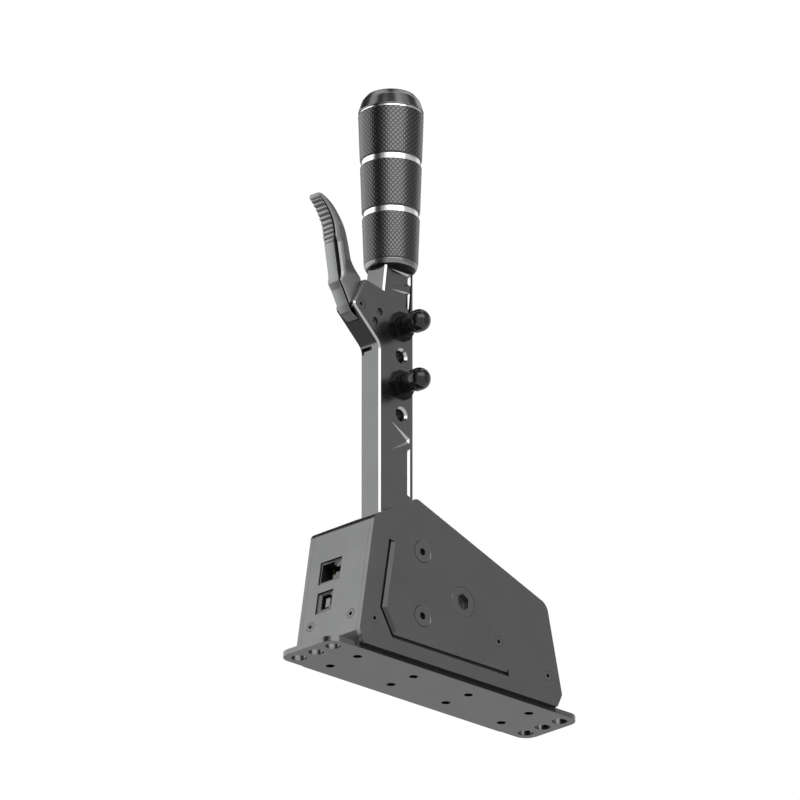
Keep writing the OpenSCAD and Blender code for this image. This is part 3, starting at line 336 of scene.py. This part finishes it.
def object_point(tree, stretch=(1, 1, 1)):
    """The surface point in the frame's metres, stretched along each axis."""
    place = tree.nodes.new("ShaderNodeTexCoord")
    mapping = tree.nodes.new("ShaderNodeMapping")
    mapping.inputs["Scale"].default_value = stretch
    wire(tree, place, "Object", mapping, "Vector")
    return mapping


def noise(tree, point, size, detail=3.0):
    """Cloudy noise whose blotches are about size metres across."""
    texture = tree.nodes.new("ShaderNodeTexNoise")
    texture.inputs["Scale"].default_value = 1 / size
    texture.inputs["Detail"].default_value = detail
    texture.inputs["Roughness"].default_value = 0.55
    wire(tree, point, 0, texture, "Vector")
    return texture


NOISE_SPAN = 0.3, 0.7


def ramp(tree, source, low, high):
    """The part of the noise's 0 to 1 that it mostly keeps to, stretched to lie between low and high."""
    stretch = tree.nodes.new("ShaderNodeMapRange")
    stretch.inputs["From Min"].default_value = NOISE_SPAN[0]
    stretch.inputs["From Max"].default_value = NOISE_SPAN[1]
    stretch.inputs["To Min"].default_value = low
    stretch.inputs["To Max"].default_value = high
    wire(tree, source, "Fac", stretch, "Value")
    return stretch


def tint(tree, shader, source, dark, light):
    """Base colour between dark and light, following the source."""
    mix = tree.nodes.new("ShaderNodeMix")
    mix.data_type = "RGBA"
    mix.inputs["A"].default_value = (*dark, 1)
    mix.inputs["B"].default_value = (*light, 1)
    wire(tree, ramp(tree, source, 0, 1), 0, mix, "Factor")
    tree.links.new(mix.outputs[2], shader.inputs["Base Color"])


def bump(tree, shader, source, height):
    """Raises the surface by up to height metres where the source is white."""
    node = tree.nodes.new("ShaderNodeBump")
    node.inputs["Strength"].default_value = 1.0
    node.inputs["Distance"].default_value = height
    wire(tree, source, "Fac", node, "Height")
    wire(tree, node, 0, shader, "Normal")


def grey(value, warmth=0.0):
    """A grey of this linear value, a little warm or cool."""
    return (value * (1 + warmth), value, value * (1 - warmth))


# %% Metal finishes
COOL = -0.012
SKIN = 0.006 * MM
FINE_SKIN = 0.004 * MM


def anodised(name, value, roughness, grain=0.22 * MM):
    """Blasted and anodised aluminium: grain in the normal, soft clouds in colour and sheen."""
    material, tree, shader = new_finish(name, grey(value, COOL), 1.0, roughness)
    point = object_point(tree)
    clouds = noise(tree, point, 30 * MM)
    tint(tree, shader, clouds, grey(value * 0.95, COOL), grey(value * 1.05, COOL))
    sheen = noise(tree, point, 11 * MM)
    wire(tree, ramp(tree, sheen, roughness - 0.03, roughness + 0.03), 0, shader, "Roughness")
    bump(tree, shader, noise(tree, point, grain, 2.0), SKIN)
    return material


def lined(name, value, roughness, stretch):
    """Turned, milled or ground metal: noise drawn out along the tool's path into fine lines."""
    material, tree, shader = new_finish(name, grey(value), 1.0, roughness)
    lines = noise(tree, object_point(tree, stretch), 0.12 * MM, 2.0)
    tint(tree, shader, lines, grey(value * 0.93), grey(min(value * 1.05, 0.95)))
    wire(tree, ramp(tree, lines, roughness - 0.04, roughness + 0.05), 0, shader, "Roughness")
    bump(tree, shader, lines, FINE_SKIN)
    return material


def moulded(name, colour, roughness, **sockets):
    """Moulded plastic or rubber: an even colour with a faint orange-peel skin."""
    material, tree, shader = new_finish(name, colour, 0.0, roughness, **sockets)
    point = object_point(tree)
    clouds = noise(tree, point, 8 * MM)
    tint(tree, shader, clouds, [c * 0.9 for c in colour], [c * 1.1 for c in colour])
    wire(tree, ramp(tree, clouds, roughness * 0.85, roughness * 1.15), 0, shader, "Roughness")
    bump(tree, shader, noise(tree, point, 0.4 * MM, 1.0), SKIN)
    return material


def rolled(name, groove, top, roughness):
    """Knurled metal. The mesh's own "knurl" attribute is 0 at the bottom of a groove and 1 on a
    diamond's top, which rubbing has made smoother. The colour follows it as painted shade: dark in
    the grooves and lighter on the tops."""
    material, tree, shader = new_finish(name, grey(top), 1.0, roughness)
    height = tree.nodes.new("ShaderNodeAttribute")
    height.attribute_name = "knurl"
    mix = tree.nodes.new("ShaderNodeMix")
    mix.data_type = "RGBA"
    mix.inputs["A"].default_value = (*grey(groove), 1)
    mix.inputs["B"].default_value = (*grey(top), 1)
    wire(tree, height, "Fac", mix, "Factor")
    tree.links.new(mix.outputs[2], shader.inputs["Base Color"])
    rub = tree.nodes.new("ShaderNodeMapRange")
    rub.inputs["To Min"].default_value = roughness + 0.12
    rub.inputs["To Max"].default_value = roughness
    wire(tree, height, "Fac", rub, "Value")
    wire(tree, rub, 0, shader, "Roughness")
    bump(tree, shader, noise(tree, object_point(tree), 0.3 * MM, 2.0), FINE_SKIN)
    return material


ALONG_X, ALONG_Y, ALONG_Z = (0.03, 1, 1), (1, 0.03, 1), (1, 1, 0.03)
ROUND_Z = (0.02, 0.02, 1)
FINISH = {
    "plate": anodised("plate", 0.150, 0.25),
    "sheet": anodised("sheet", 0.150, 0.25),
    "bar": anodised("bar", 0.150, 0.24),
    "trigger": anodised("trigger", 0.25, 0.36),
    # Painted shade: in the knurl, colour 0.045 in the grooves against 0.11 on the tops.
    "sleeve": rolled("sleeve", 0.045, 0.11, 0.22),
    "collar": anodised("collar", 0.21, 0.20),
    "screw": anodised("screw", 0.15, 0.36, 0.3 * MM),
    "bright": lined("bright", 0.78, 0.20, ROUND_Z),
    "cut": lined("cut", 0.42, 0.22, ALONG_Z),
    # Painted shade: a darker grey for the sloped side of the groove in the side plates, where less light
    # falls.
    "slope": anodised("slope", 0.075, 0.28),
    # Painted shade: a darker grey for the underside of the cover's lower bend, where little light falls.
    "knee": anodised("knee", 0.06, 0.30),
    # Painted shade: plain black on faces where hardly any light gets in, such as groove floors, screw
    # sockets and the gaps round screw heads.
    "slit": moulded("slit", grey(0.012), 0.4, Specular_IOR_Level=0.3),
    "steel": lined("steel", 0.56, 0.28, ALONG_X),
    "spring_steel": lined("spring_steel", 0.42, 0.32, ALONG_Y),
    "aluminium": lined("aluminium", 0.62, 0.34, ALONG_Y),
    "gold": new_finish("gold", (0.78, 0.56, 0.24), 1.0, 0.26)[0],
    "bronze": new_finish("bronze", (0.5, 0.3, 0.13), 1.0, 0.35)[0],
    "dome": anodised("dome", 0.21, 0.22, 0.3 * MM),
    "dark_ring": moulded("dark_ring", grey(0.008), 0.40, Specular_IOR_Level=0.12),
    "button": moulded("button", grey(0.006, 0.06), 0.10, Specular_IOR_Level=0.5),
    "hexagon": moulded("hexagon", grey(0.006), 0.28, Specular_IOR_Level=0.22),
    "rubber": moulded("rubber", grey(0.02), 0.7),
    "chip": moulded("chip", grey(0.018), 0.45),
    "jack": moulded("jack", grey(0.15), 0.42),
    # Painted shade: black for the inside of the jacks, where hardly any light gets in.
    "painted_shade_in_jacks": moulded("painted_shade_in_jacks", grey(0.008), 0.5),
    "tongue": moulded("tongue", grey(0.36), 0.4),
    "board": moulded("board", (0.02, 0.09, 0.04), 0.35),
}
print("finishes:", len(FINISH))

# %% [markdown]
# ## Breaking the edges
#
# A machined plate never has a perfectly sharp edge: the shop breaks it with a file or a small
# chamfer, and that narrow strip is what catches the light. The frame's meshes are exact but sharp,
# and they must stay as they are. So each visible plate is copied, the copy's loose triangles are
# merged into flat faces, and a Bevel modifier cuts the narrow strips. The copy then stands in for
# its node. Modelling the plates again by hand would risk moving a hole.


# %% Softened copies
def stands_for(piece, node):
    """The piece replaces a node and rides on its body."""
    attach(piece, frame["nodes"][node]["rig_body"])
    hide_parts(node)


FLAT_AREA = 45 * MM ** 2
FLAT_ANGLE = math.radians(0.5)
SHARP_DEGREES = 35


def softened(node, name, slot, width):
    """Copy of a node with its faces merged and its sharp edges bevelled by width metres. Faces with
    less area than FLAT_AREA belong to round corners and are shaded smooth, larger ones stay flat."""
    mesh = frame["nodes"][node].data.copy()
    mesh.name = name
    piece = link(bpy.data.objects.new(name, mesh))
    work = bmesh.new()
    work.from_mesh(mesh)
    bmesh.ops.remove_doubles(work, verts=work.verts, dist=0.002 * MM)
    bmesh.ops.dissolve_limit(work, angle_limit=FLAT_ANGLE, verts=work.verts, edges=work.edges,
                             delimit={"NORMAL"})
    work.to_mesh(mesh)
    work.free()
    mesh.materials.clear()
    mesh.materials.append(FINISH[slot])
    if mesh.has_custom_normals:
        mesh.attributes.remove(mesh.attributes["custom_normal"])
    keep_creases(piece, SHARP_DEGREES)
    areas = np.empty(len(mesh.polygons))
    mesh.polygons.foreach_get("area", areas)
    mesh.polygons.foreach_set("use_smooth", areas < FLAT_AREA)
    bevel = piece.modifiers.new("broken edges", "BEVEL")
    bevel.width = width
    bevel.segments = 2
    bevel.limit_method = "ANGLE"
    bevel.angle_limit = math.radians(SHARP_DEGREES)
    bevel.use_clamp_overlap = True
    bevel.miter_outer = "MITER_ARC"
    stands_for(piece, node)
    print(name, len(mesh.polygons), "faces")
    return piece


base = softened("base_frame", "base", "plate", 0.2 * MM)
plates = [softened("side_plate_right", "right_side", "plate", 0.12 * MM),
          softened("side_plate_left", "left_side", "plate", 0.12 * MM)]
cover = softened("cover", "folded_cover", "sheet", 0.25 * MM)
bar = softened("lever_bar", "bar", "bar", 0.1 * MM)
socketed = [softened(node, node + "_softened", "screw", 0.05 * MM)
            for node in ("side_screws", "shaft_screws", "trigger_pin")]
for node in ("cover_screws", "guide_bolts", "switch_screws"):
    softened(node, node + "_softened", "screw", 0.12 * MM)
for node in ("button_upper_body", "button_lower_body"):
    softened(node, node + "_softened", "hexagon", 0.25 * MM)
jacks = [softened(node, node + "_softened", "jack", 0.12 * MM) for node in ("flat_jack", "data_jack")]

# %% [markdown]
# ## Bright cuts and painted shade
#
# On the real bar the long front edges and the slanted pockets were cut after the anodising, so
# bare aluminium shines there. Those cuts are the faces that lean half way between the side and the
# front, and one array test on the face normals finds them. Painting them with an image would need
# an unwrapped mesh for the same result.
#
# The same kind of test finds what looks black in the picture because hardly any light gets in: the
# floor of the narrow groove in the side plates, the sockets and the gaps round the screw heads, the
# inside of the jacks, and the long edge of the base under the plates, and paints them black as
# painted shade. It also finds two faces that get less light than their neighbours, the groove's
# sloped side and the underside of the cover's lower bend, and paints them a darker grey as shade.


# %% Picking and painting faces
def rows_of(things, key):
    """One row of three numbers for each vertex or face of a mesh."""
    rows = np.empty(len(things) * 3)
    things.foreach_get(key, rows)
    return rows.reshape(-1, 3)


def faces_of(piece):
    """The centre of every face, and its normal."""
    return rows_of(piece.data.polygons, "center"), rows_of(piece.data.polygons, "normal")


def between(values, low, high):
    return (values > low) & (values < high)


def paint(piece, *slots_and_picks):
    """Gives each picked set of faces the finish named before it. A later set wins."""
    mesh = piece.data
    index = np.zeros(len(mesh.polygons), np.int32)
    for slot, picked in slots_and_picks:
        mesh.materials.append(FINISH[slot])
        index[picked] = len(mesh.materials) - 1
        print(piece.name, int(picked.sum()), "faces in", slot)
    mesh.polygons.foreach_set("material_index", index)


# %% Bar, jacks, base, cover and screws
CUT_LEAN = 0.25, 0.97
HOUSING_TOP = 0.08
JACK_RIM = 0.3 * MM
BASE_SIDE_X = 22.9 * MM
BASE_TOP = 0.02
PLATE_ENDS = 0.06
KNEE_TOP = 0.035
KNEE_FROM_Y = 0.05
HEAD_RIM = 0.35 * MM

centres, normals = faces_of(bar)
paint(bar, ("cut", between(np.abs(normals[:, 0]), *CUT_LEAN) & (centres[:, 2] > HOUSING_TOP)))
# Painted shade: faces deeper than the rim of each jack's opening are painted black.
for jack in jacks:
    y = faces_of(jack)[0][:, 1]
    paint(jack, ("painted_shade_in_jacks", y > y.min() + JACK_RIM))
# Painted shade: the base's long edges under the side plates are painted black.
centres, normals = faces_of(base)
long_side = (np.abs(normals[:, 0]) > 0.98) & (np.abs(centres[:, 0]) > BASE_SIDE_X)
paint(base, ("slit", long_side & (np.abs(centres[:, 1]) < PLATE_ENDS) & (centres[:, 2] < BASE_TOP)))
# Painted shade: the underside of the cover's lower bend gets the darker grey.
centres, normals = faces_of(cover)
underside = (normals[:, 2] < -0.3) & (centres[:, 2] < KNEE_TOP)
paint(cover, ("knee", underside & (np.abs(centres[:, 1]) > KNEE_FROM_Y)))
# Painted shade: the sockets of these screws, below the rim of each head, are painted black.
for screws in socketed:
    x = np.abs(faces_of(screws)[0][:, 0])
    paint(screws, ("slit", x < x.max() - HEAD_RIM))

# %% Side plates
GROOVE_PATH = np.array([[38, 11], [-55.5, 11], [-65.4, 27.5], [-58, 70.7]]) * MM
GROOVE_HALF = 4 * MM
GROOVE_RIM = 0.95 * MM
SLOPE_REACH = 9 * MM
HEAD_GAP = 0.9 * MM


def from_groove(centres):
    """Distance of each point from the groove's path. From a stretch a-b it is |p - a - t (b - a)|,
    with t held between 0 and 1."""
    p, a, b = centres[:, None, 1:], GROOVE_PATH[:-1], GROOVE_PATH[1:]
    t = np.clip(((p - a) * (b - a)).sum(-1) / ((b - a) ** 2).sum(-1), 0, 1)[..., None]
    return np.linalg.norm(p - a - t * (b - a), axis=-1).min(1)


def from_screws(centres):
    """Distance of each point, seen along X, from the nearest vertex of a side screw."""
    rims = np.concatenate([rows_of(screws.data.vertices, "co")[:, 1:] for screws in socketed])
    rims = np.unique(rims.round(4), axis=0)
    return np.linalg.norm(centres[:, None, 1:] - rims, axis=-1).min(1)


def paint_plate(plate):
    """Paints shade: the groove floor, the countersinks, and the floor and wall under the screw heads
    in black, and the sloped side of the groove's front stretch in a darker grey."""
    centres, normals = faces_of(plate)
    lean, below = np.abs(normals[:, 0]), np.abs(centres[:, 0])
    below = below.max() - below
    path = from_groove(centres)
    deep = (path < GROOVE_HALF) & (below > GROOVE_RIM)
    countersink = between(lean, 0.2, 0.93) & (below > 0.55 * MM)
    head_floor = (lean > 0.98) & between(below, 1.2 * MM, 2.5 * MM)
    head_wall = (lean < 0.2) & (from_screws(centres) < HEAD_GAP)
    forwards = np.abs(normals[:, 1]) > np.abs(normals[:, 2])
    slope = between(lean, 0.93, 0.995) & (path < SLOPE_REACH) & (below > 0.05 * MM) & forwards
    paint(plate, ("slope", slope), ("slit", deep | countersink | head_floor | head_wall))


for plate in plates:
    paint_plate(plate)

# %% [markdown]
# ## Turned pieces of the grip
#
# The grip is a stack of turned pieces on one core. Each is a closed outline in the plane of radius
# and height, carried round the lever's axis. Small arcs at the outline's corners give every ring
# its own thin highlight.

# %% Turned pieces
AXIS_Y = (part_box("ring_top")[0][1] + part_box("ring_top")[1][1]) / 2
CORE_R = 11.05 * MM
GRIP_R = 15.6 * MM
GRIP_FROM_Z = 0.248
GRIP_TAPER = 0.0351
RING_SINK = 0.8 * MM
RING_CORNER = 0.15 * MM


def grip_radius(z):
    """Radius of the grip at a height: it widens evenly upwards."""
    return GRIP_R + GRIP_TAPER * (z - GRIP_FROM_Z)


def rounded_path(points, radii, steps=6):
    """The polygon's corners replaced by arcs: each corner gets points at equal turns between where
    the two edges touch a circle of its radius."""
    out = []
    points = np.asarray(points, float)
    for i, (p, r) in enumerate(zip(points, radii)):
        a, b = points[i - 1], points[(i + 1) % len(points)]
        if r <= 0:
            out.append(p[None])
            continue
        u, v = (a - p) / np.linalg.norm(a - p), (b - p) / np.linalg.norm(b - p)
        half = math.acos(np.clip(u @ v, -1, 1)) / 2
        centre = p + (u + v) / np.linalg.norm(u + v) * r / math.sin(half)
        start, end = p + u * r / math.tan(half) - centre, p + v * r / math.tan(half) - centre
        a0 = math.atan2(start[1], start[0])
        turn = (math.atan2(end[1], end[0]) - a0 + math.pi) % (2 * math.pi) - math.pi
        t = a0 + turn * np.linspace(0, 1, steps + 1)
        out.append(centre + r * np.column_stack([np.cos(t), np.sin(t)]))
    return np.concatenate(out)


def turned(name, outline, around=192, lift=None):
    """A closed outline of (radius, height) carried round the lever's axis. lift(angle, height,
    radius) may add to the radius."""
    t = np.linspace(0, 2 * math.pi, around, endpoint=False)[None, :]
    radius = outline[:, :1] + 0 * t
    height = outline[:, 1:] + 0 * t
    if lift is not None:
        radius = radius + lift(t, height, radius)
    points = np.stack([radius * np.cos(t), AXIS_Y + radius * np.sin(t), height], -1)
    return outward(mesh_of(name, points, grid_faces(len(outline), around, close_rows=True)))


def bright_ring(node, name):
    """A ring a little narrower than the grip, with round corners."""
    z0, z1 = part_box(node)[0][2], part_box(node)[1][2]
    low, high = grip_radius(z0) - RING_SINK, grip_radius(z1) - RING_SINK
    piece = turned(name, rounded_path([[CORE_R, z0], [low, z0], [high, z1], [CORE_R, z1]],
                                      [0, RING_CORNER, RING_CORNER, 0]))
    keep_creases(piece, 40)
    piece.data.materials.append(FINISH["bright"])
    stands_for(piece, node)


for node, name in [("ring_lower", "lower_ring"), ("ring_middle", "middle_ring"), ("ring_top", "top_ring")]:
    bright_ring(node, name)

# %% [markdown]
# ## The knurl
#
# A knurl is rolled into the sleeve by two wheels whose ridges run as crossing helices, and what is
# left between the grooves is a field of small diamonds. Two helical waves do the same: one climbs
# with the angle, the other falls with it, and a point is high where both are far from their
# grooves. Each diamond keeps a small flat top, and those tops are the bright dots in the picture.
# A bump map would be lighter, but the knurl breaks the grip's outline, so it is real geometry. Each
# vertex also keeps how high it lies within the knurl, which the finish turns into painted shade:
# dark in the grooves and lighter on the tops.

# %% Knurled sleeves
KNURL_ROUND = 40
KNURL_RISE = 2.9 * MM
KNURL_DEPTH = 0.09 * MM
KNURL_FLANK = 0.62
KNURL_SAMPLES = 10
SLEEVE_END = 1.0 * MM
SLEEVE_END_IN = 0.45 * MM


def knurl_rise(angle, height):
    """0 in a groove, 1 on a diamond's flat top, and 3 t^2 - 2 t^3 on the flank between them."""
    across = angle * KNURL_ROUND / (2 * math.pi)
    along = height / KNURL_RISE
    from_grooves = [1 - np.abs(2 * np.mod(w, 1) - 1) for w in (across + along, across - along)]
    t = np.clip(np.minimum(*from_grooves) / KNURL_FLANK, 0, 1)
    return 3 * t ** 2 - 2 * t ** 3


def knurl(z0):
    """lift() for a sleeve that starts at z0: the full depth inwards at a groove, none on a top."""
    def lift(angle, height, radius):
        outer = radius > CORE_R + 2 * MM
        return np.where(outer, (knurl_rise(angle, height - z0) - 1) * KNURL_DEPTH, 0)
    return lift


def mark_knurl(piece, z0):
    """Keeps each vertex's height within the knurl in the mesh, for the finish to read."""
    x, y, z = rows_of(piece.data.vertices, "co").T
    rise = knurl_rise(np.arctan2(y - AXIS_Y, x), z - z0)
    marks = piece.data.attributes.new("knurl", "FLOAT", "POINT")
    marks.data.foreach_set("value", rise.astype(np.float32))


def knurled_sleeve(node, name):
    """A knurled tube whose ends curve in as a quarter of an ellipse."""
    low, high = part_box(node)
    z0, z1 = low[2], high[2]
    z = np.linspace(z0, z1, int((z1 - z0) / KNURL_RISE * KNURL_SAMPLES))
    from_end = np.clip(np.minimum(z - z0, z1 - z) / SLEEVE_END, 0, 1)
    inwards = SLEEVE_END_IN * (1 - np.sqrt(1 - (1 - from_end) ** 2))
    outer = np.column_stack([grip_radius(z) - inwards, z])
    outline = np.concatenate([[[CORE_R, z0]], outer, [[CORE_R, z1]]])
    piece = turned(name, outline, KNURL_ROUND * KNURL_SAMPLES, knurl(z0))
    keep_creases(piece, 50)
    mark_knurl(piece, z0)
    piece.data.materials.append(FINISH["sleeve"])
    stands_for(piece, node)
    print(name, len(piece.data.polygons), "faces")


for node, name in [("sleeve_lower", "lower_sleeve"), ("sleeve_middle", "middle_sleeve"),
                   ("sleeve_upper", "upper_sleeve")]:
    knurled_sleeve(node, name)

# %% [markdown]
# ## Cap, collar and end ring
#
# The cap narrows a little, turns over a shoulder and ends nearly flat. At the other end the grip has
# a foot that curves in as an arc of a circle. The grey collar and the black end ring are two slices
# of that one foot, so both take their radius from the same function, and no step shows between them.

# %% Cap, collar and end ring
def grip_cap():
    """Corners of the cap's outline from its middle below, over rim, lip and flank, to its top."""
    low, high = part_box("grip_cap")
    z0, z1 = low[2], high[2]
    r = grip_radius(z0)
    outline = rounded_path(
        [[0, z0], [r, z0], [r - 0.25 * MM, z0 + 0.9 * MM], [r - 2.2 * MM, z0 + 7 * MM],
         [13.3 * MM, z1 - 0.1 * MM], [0, z1]],
        [0, 0.2 * MM, 1.2 * MM, 6 * MM, 3.6 * MM, 0], 10)
    piece = turned("cap", outline)
    keep_creases(piece, 50)
    piece.data.materials.append(FINISH["dome"])
    stands_for(piece, "grip_cap")


FOOT_CURVE = 6 * MM
FOOT_START_Z = 0.2518
FOOT_CLEAR = 0.02 * MM
FOOT_EDGE = 0.12 * MM


def foot_radius(z):
    """The grip's radius near its lower end, less r - sqrt(r^2 - d^2) at a distance d below the start
    of the foot's curve of radius r."""
    below = np.clip(FOOT_START_Z - z, 0, FOOT_CURVE)
    return grip_radius(z) - (FOOT_CURVE - np.sqrt(FOOT_CURVE ** 2 - below ** 2))


def foot_ring(node, name, slot, bore):
    """A ring of the grip's curved foot between its node's two heights."""
    low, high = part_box(node)
    z = np.linspace(low[2] + FOOT_CLEAR, high[2] - FOOT_CLEAR, 12)
    radius = foot_radius(z)
    radius[[0, -1]] -= FOOT_EDGE
    outline = np.concatenate([[[bore, low[2]]], np.column_stack([radius, z]), [[bore, high[2]]]])
    piece = turned(name, outline)
    keep_creases(piece, 40)
    piece.data.materials.append(FINISH[slot])
    stands_for(piece, node)


grip_cap()
foot_ring("grip_collar", "collar", "collar", 11 * MM)
foot_ring("grip_end_ring", "end_ring", "dark_ring", 4 * MM)

# %% [markdown]
# ## The trigger
#
# The trigger is a milled blade: a ribbed pad for the finger, a thin groove behind it, and a web that
# is scooped out on both sides and widens again into the tail between the cheeks. It is lofted. Each
# station pairs a point of its front line with one of its back line, a section is laid from one to
# the other, and numpy fills in the rows between the stations. Every section is the same list of
# distances and half widths, so the groove and the rounded back run through the whole blade, and the
# groove is always the same columns of the grid, which makes it easy to paint it black as shade.

# %% Trigger
FRONT_LINE = np.array([
    [-92.8, 279.1], [-92.5, 277.4], [-88.4, 273.2], [-85.2, 268.3], [-82.4, 262.3], [-81.6, 253.0],
    [-79.6, 242.9], [-77.9, 232.3], [-78.0, 229.2], [-75.2, 225.4], [-71.6, 218.9], [-70.4, 216.7],
    [-67.8, 212.6], [-61.5, 209.7]]) * MM
BACK_LINE = np.array([
    [-88.2, 279.0], [-86.0, 278.6], [-81.0, 276.6], [-75.6, 271.9], [-70.0, 264.5], [-67.0, 254.5],
    [-65.0, 244.8], [-61.2, 238.0], [-58.2, 236.0], [-57.6, 230.0], [-55.2, 223.0], [-53.4, 219.5],
    [-54.6, 217.4], [-57.5, 212.6]]) * MM
RIB_PITCH = 2.75 * MM
RIB_START, RIB_END = 2.6 * MM, 30.1 * MM
RIB_DEPTH = 0.8 * MM
GROOVE_COLUMNS = [3, 4, 5]


def soft_line(points, t, blur):
    """Points of a line at stations t, where 2.5 is half way between stations 2 and 3. Each is an
    average over blur stations to either side, which rounds the corners."""
    at = t + np.linspace(-1, 1, 9)[:, None] * blur
    stations = np.arange(len(points))
    return np.stack([np.interp(at, stations, points[:, i]).mean(0) for i in (0, 1)], -1)


def trigger_rows():
    """Stations of the blade's rows, close together along the ribs, and their way from the tip."""
    fine = np.linspace(0, len(FRONT_LINE) - 1, 4000)
    steps = np.diff(soft_line(FRONT_LINE, fine, 0 * fine), axis=0)
    way = np.concatenate([[0], np.cumsum(np.linalg.norm(steps, axis=1))])
    rows = np.concatenate([np.arange(0, RIB_END, 0.15 * MM), np.arange(RIB_END, way[-1], 0.4 * MM)])
    return np.interp(rows, way, fine), rows


def trigger_section(t, way, depth):
    """Distances from the front line and half widths, one row per station and one column per corner
    of the section."""
    def along(*pairs):
        at, value = zip(*pairs)
        return np.interp(t, at, value)[:, None] * MM
    pad = along((0, 3.8), (0.5, 4.3), (4.8, 4.3), (4.9, 3.7), (6.8, 3.7), (7.6, 4.2))
    floor = along((0, 3.0), (4.7, 3.0), (5.0, 2.0), (6.8, 2.0), (7.8, 3.0))
    gap = along((0, 2.0), (4.7, 2.0), (5.0, 3.4), (6.8, 3.4), (7.8, 1.8))
    web = along((0, 4.0), (1.0, 4.2), (2.0, 4.3))
    scoop = along((0, 3.7), (1.5, 3.4), (3.0, 3.0), (6.0, 3.0), (7.0, 4.3))
    small = np.minimum(1, depth / (11.5 * MM))[:, None]
    ribbed = ((way > RIB_START) & (way < RIB_END))[:, None]
    valley = 1 - np.abs(np.cos(math.pi * (way - RIB_START) / RIB_PITCH + math.pi / 2))[:, None] ** 0.5
    valley = valley * ribbed
    wall = web - floor
    front = np.array([0, 0.05, 0.2, 0.45, 0.55]) * MM
    shoulder = np.array([0, 0.06, 0.12, 0.9, 2.2, 3.6, 4.6, 5.2]) * MM
    back = np.array([2.6, 1.7, 0.9, 0.3, 0.0]) * MM
    dips = np.array([1, 1, 0.85, 0, 0]) * RIB_DEPTH * valley
    distance = np.concatenate([(front + dips) * small, (front[-1] + gap + shoulder) * small,
                               depth[:, None] - back * small], 1)
    narrow = np.array([1, 1, 1, 0.8, 0]) * RIB_DEPTH * valley
    half = np.concatenate([
        pad - np.array([0.3, 0.08, 0, 0]) * MM - narrow[:, :4], floor,
        floor + wall * np.array([0, 0.36, 0.56, 0.77, 0.92, 1.0]),
        scoop + (web - scoop) * np.array([0.25, 0]),
        scoop - np.array([0, 0.15, 0.6, 1.3, 2.3]) * MM], 1)
    return distance, half


def trigger_blade():
    t, way = trigger_rows()
    room = np.minimum(t, len(FRONT_LINE) - 1 - t)
    blur = np.minimum(room, np.interp(t, [0, 1.5, 6.5, 7.0, 13], [0.3, 0.5, 0.5, 0.08, 0.12]))
    front = soft_line(FRONT_LINE, t, blur)
    back = soft_line(BACK_LINE, t, np.minimum(room, 0.45))
    depth = np.linalg.norm(back - front, axis=1)
    inwards = (back - front) / depth[:, None]
    distance, half = trigger_section(t, way, depth)
    yz = front[:, None, :] + inwards[:, None, :] * distance[..., None]
    right = np.concatenate([half[..., None], yz], -1)
    rows = np.concatenate([right, right[:, ::-1] * [-1, 1, 1]], 1)
    tip, tail = rows[:1], rows[-1:]
    beyond = np.array([0, -inwards[0, 1], inwards[0, 0]])
    beyond = beyond * np.sign(beyond[2])
    ends = [tip.mean(1, keepdims=True) + (tip - tip.mean(1, keepdims=True)) * size + beyond * out
            for size, out in [(0, 0.6 * MM), (0.8, 0.58 * MM), (0.93, 0.38 * MM)]]
    points = np.concatenate([*ends, rows, 0 * tail + tail.mean(1, keepdims=True)])
    piece = mesh_of("trigger_blade", points, grid_faces(*points.shape[:2]))
    columns = points.shape[1]
    column = np.arange(len(piece.data.polygons)) % columns
    # Painted shade: faces in the groove's columns get the black finish, since little light gets into the
    # groove.
    in_groove = np.isin(column, [*GROOVE_COLUMNS, *(columns - 2 - np.array(GROOVE_COLUMNS))])
    piece.data.materials.append(FINISH["trigger"])
    piece.data.materials.append(FINISH["slit"])
    piece.data.polygons.foreach_set("material_index", in_groove.astype(np.int32))
    keep_creases(outward(piece), 38)
    stands_for(piece, "trigger")
    print("trigger", len(piece.data.polygons), "faces")


trigger_blade()

# %% [markdown]
# ## Button caps
#
# Each button ends in a glossy ball on a short skirt that slides over the button's neck. The cap is
# turned like the grip's pieces, only about a line that runs across the bar.


# %% Button caps
CAP_SKIRT = 3.5 * MM
CAP_ROOF = 2.6 * MM
NECK_R = 5.75 * MM
STEM_R = 2.5 * MM
CAP_AROUND = 96


def ball_cap(node, name):
    """Skirt, ball and stem as one closed outline of (radius, x), carried round the button's line."""
    low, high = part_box(node)
    y, z = (low[1] + high[1]) / 2, (low[2] + high[2]) / 2
    r = (high[2] - low[2]) / 2
    middle = high[0] - r
    rim = middle - CAP_SKIRT
    a = np.radians(np.linspace(0, 90, 25))
    ball = np.column_stack([r * np.cos(a), middle + r * np.sin(a)])
    skirt = rounded_path([[NECK_R, rim], [r, rim], [r, middle]], [0, 0.3 * MM, 0])
    outline = np.concatenate([
        [[0, low[0]], [STEM_R, low[0]], [STEM_R, rim + CAP_ROOF], [NECK_R, rim + CAP_ROOF]],
        skirt[:-1], ball])
    t = np.linspace(0, 2 * math.pi, CAP_AROUND, endpoint=False)[None, :]
    radius = outline[:, :1]
    points = np.stack([outline[:, 1:] + 0 * t, y + radius * np.cos(t), z + radius * np.sin(t)], -1)
    piece = outward(mesh_of(name, points, grid_faces(len(outline), CAP_AROUND)))
    keep_creases(piece, 40)
    piece.data.materials.append(FINISH["button"])
    stands_for(piece, node)


ball_cap("button_upper_cap", "upper_ball_cap")
ball_cap("button_lower_cap", "lower_ball_cap")

# %% [markdown]
# ## Everything else keeps its shape
#
# What is already right in the frame, such as screws, jacks, boards and springs, only gets its
# finish. The record names a slot for each node, so one loop dresses them all.

# %% Finish the remaining nodes
slot_of = {part["node"]: part["material_slot"] for part in frame["record"]["subparts"]}
for node, part in frame["nodes"].items():
    part.data.materials.clear()
    part.data.materials.append(FINISH[slot_of[node]])

# %% [markdown]
# ## Last things
#
# Colours are shown as they are written, without a film look.

# %% Finish
bpy.context.scene.view_settings.view_transform = "Standard"
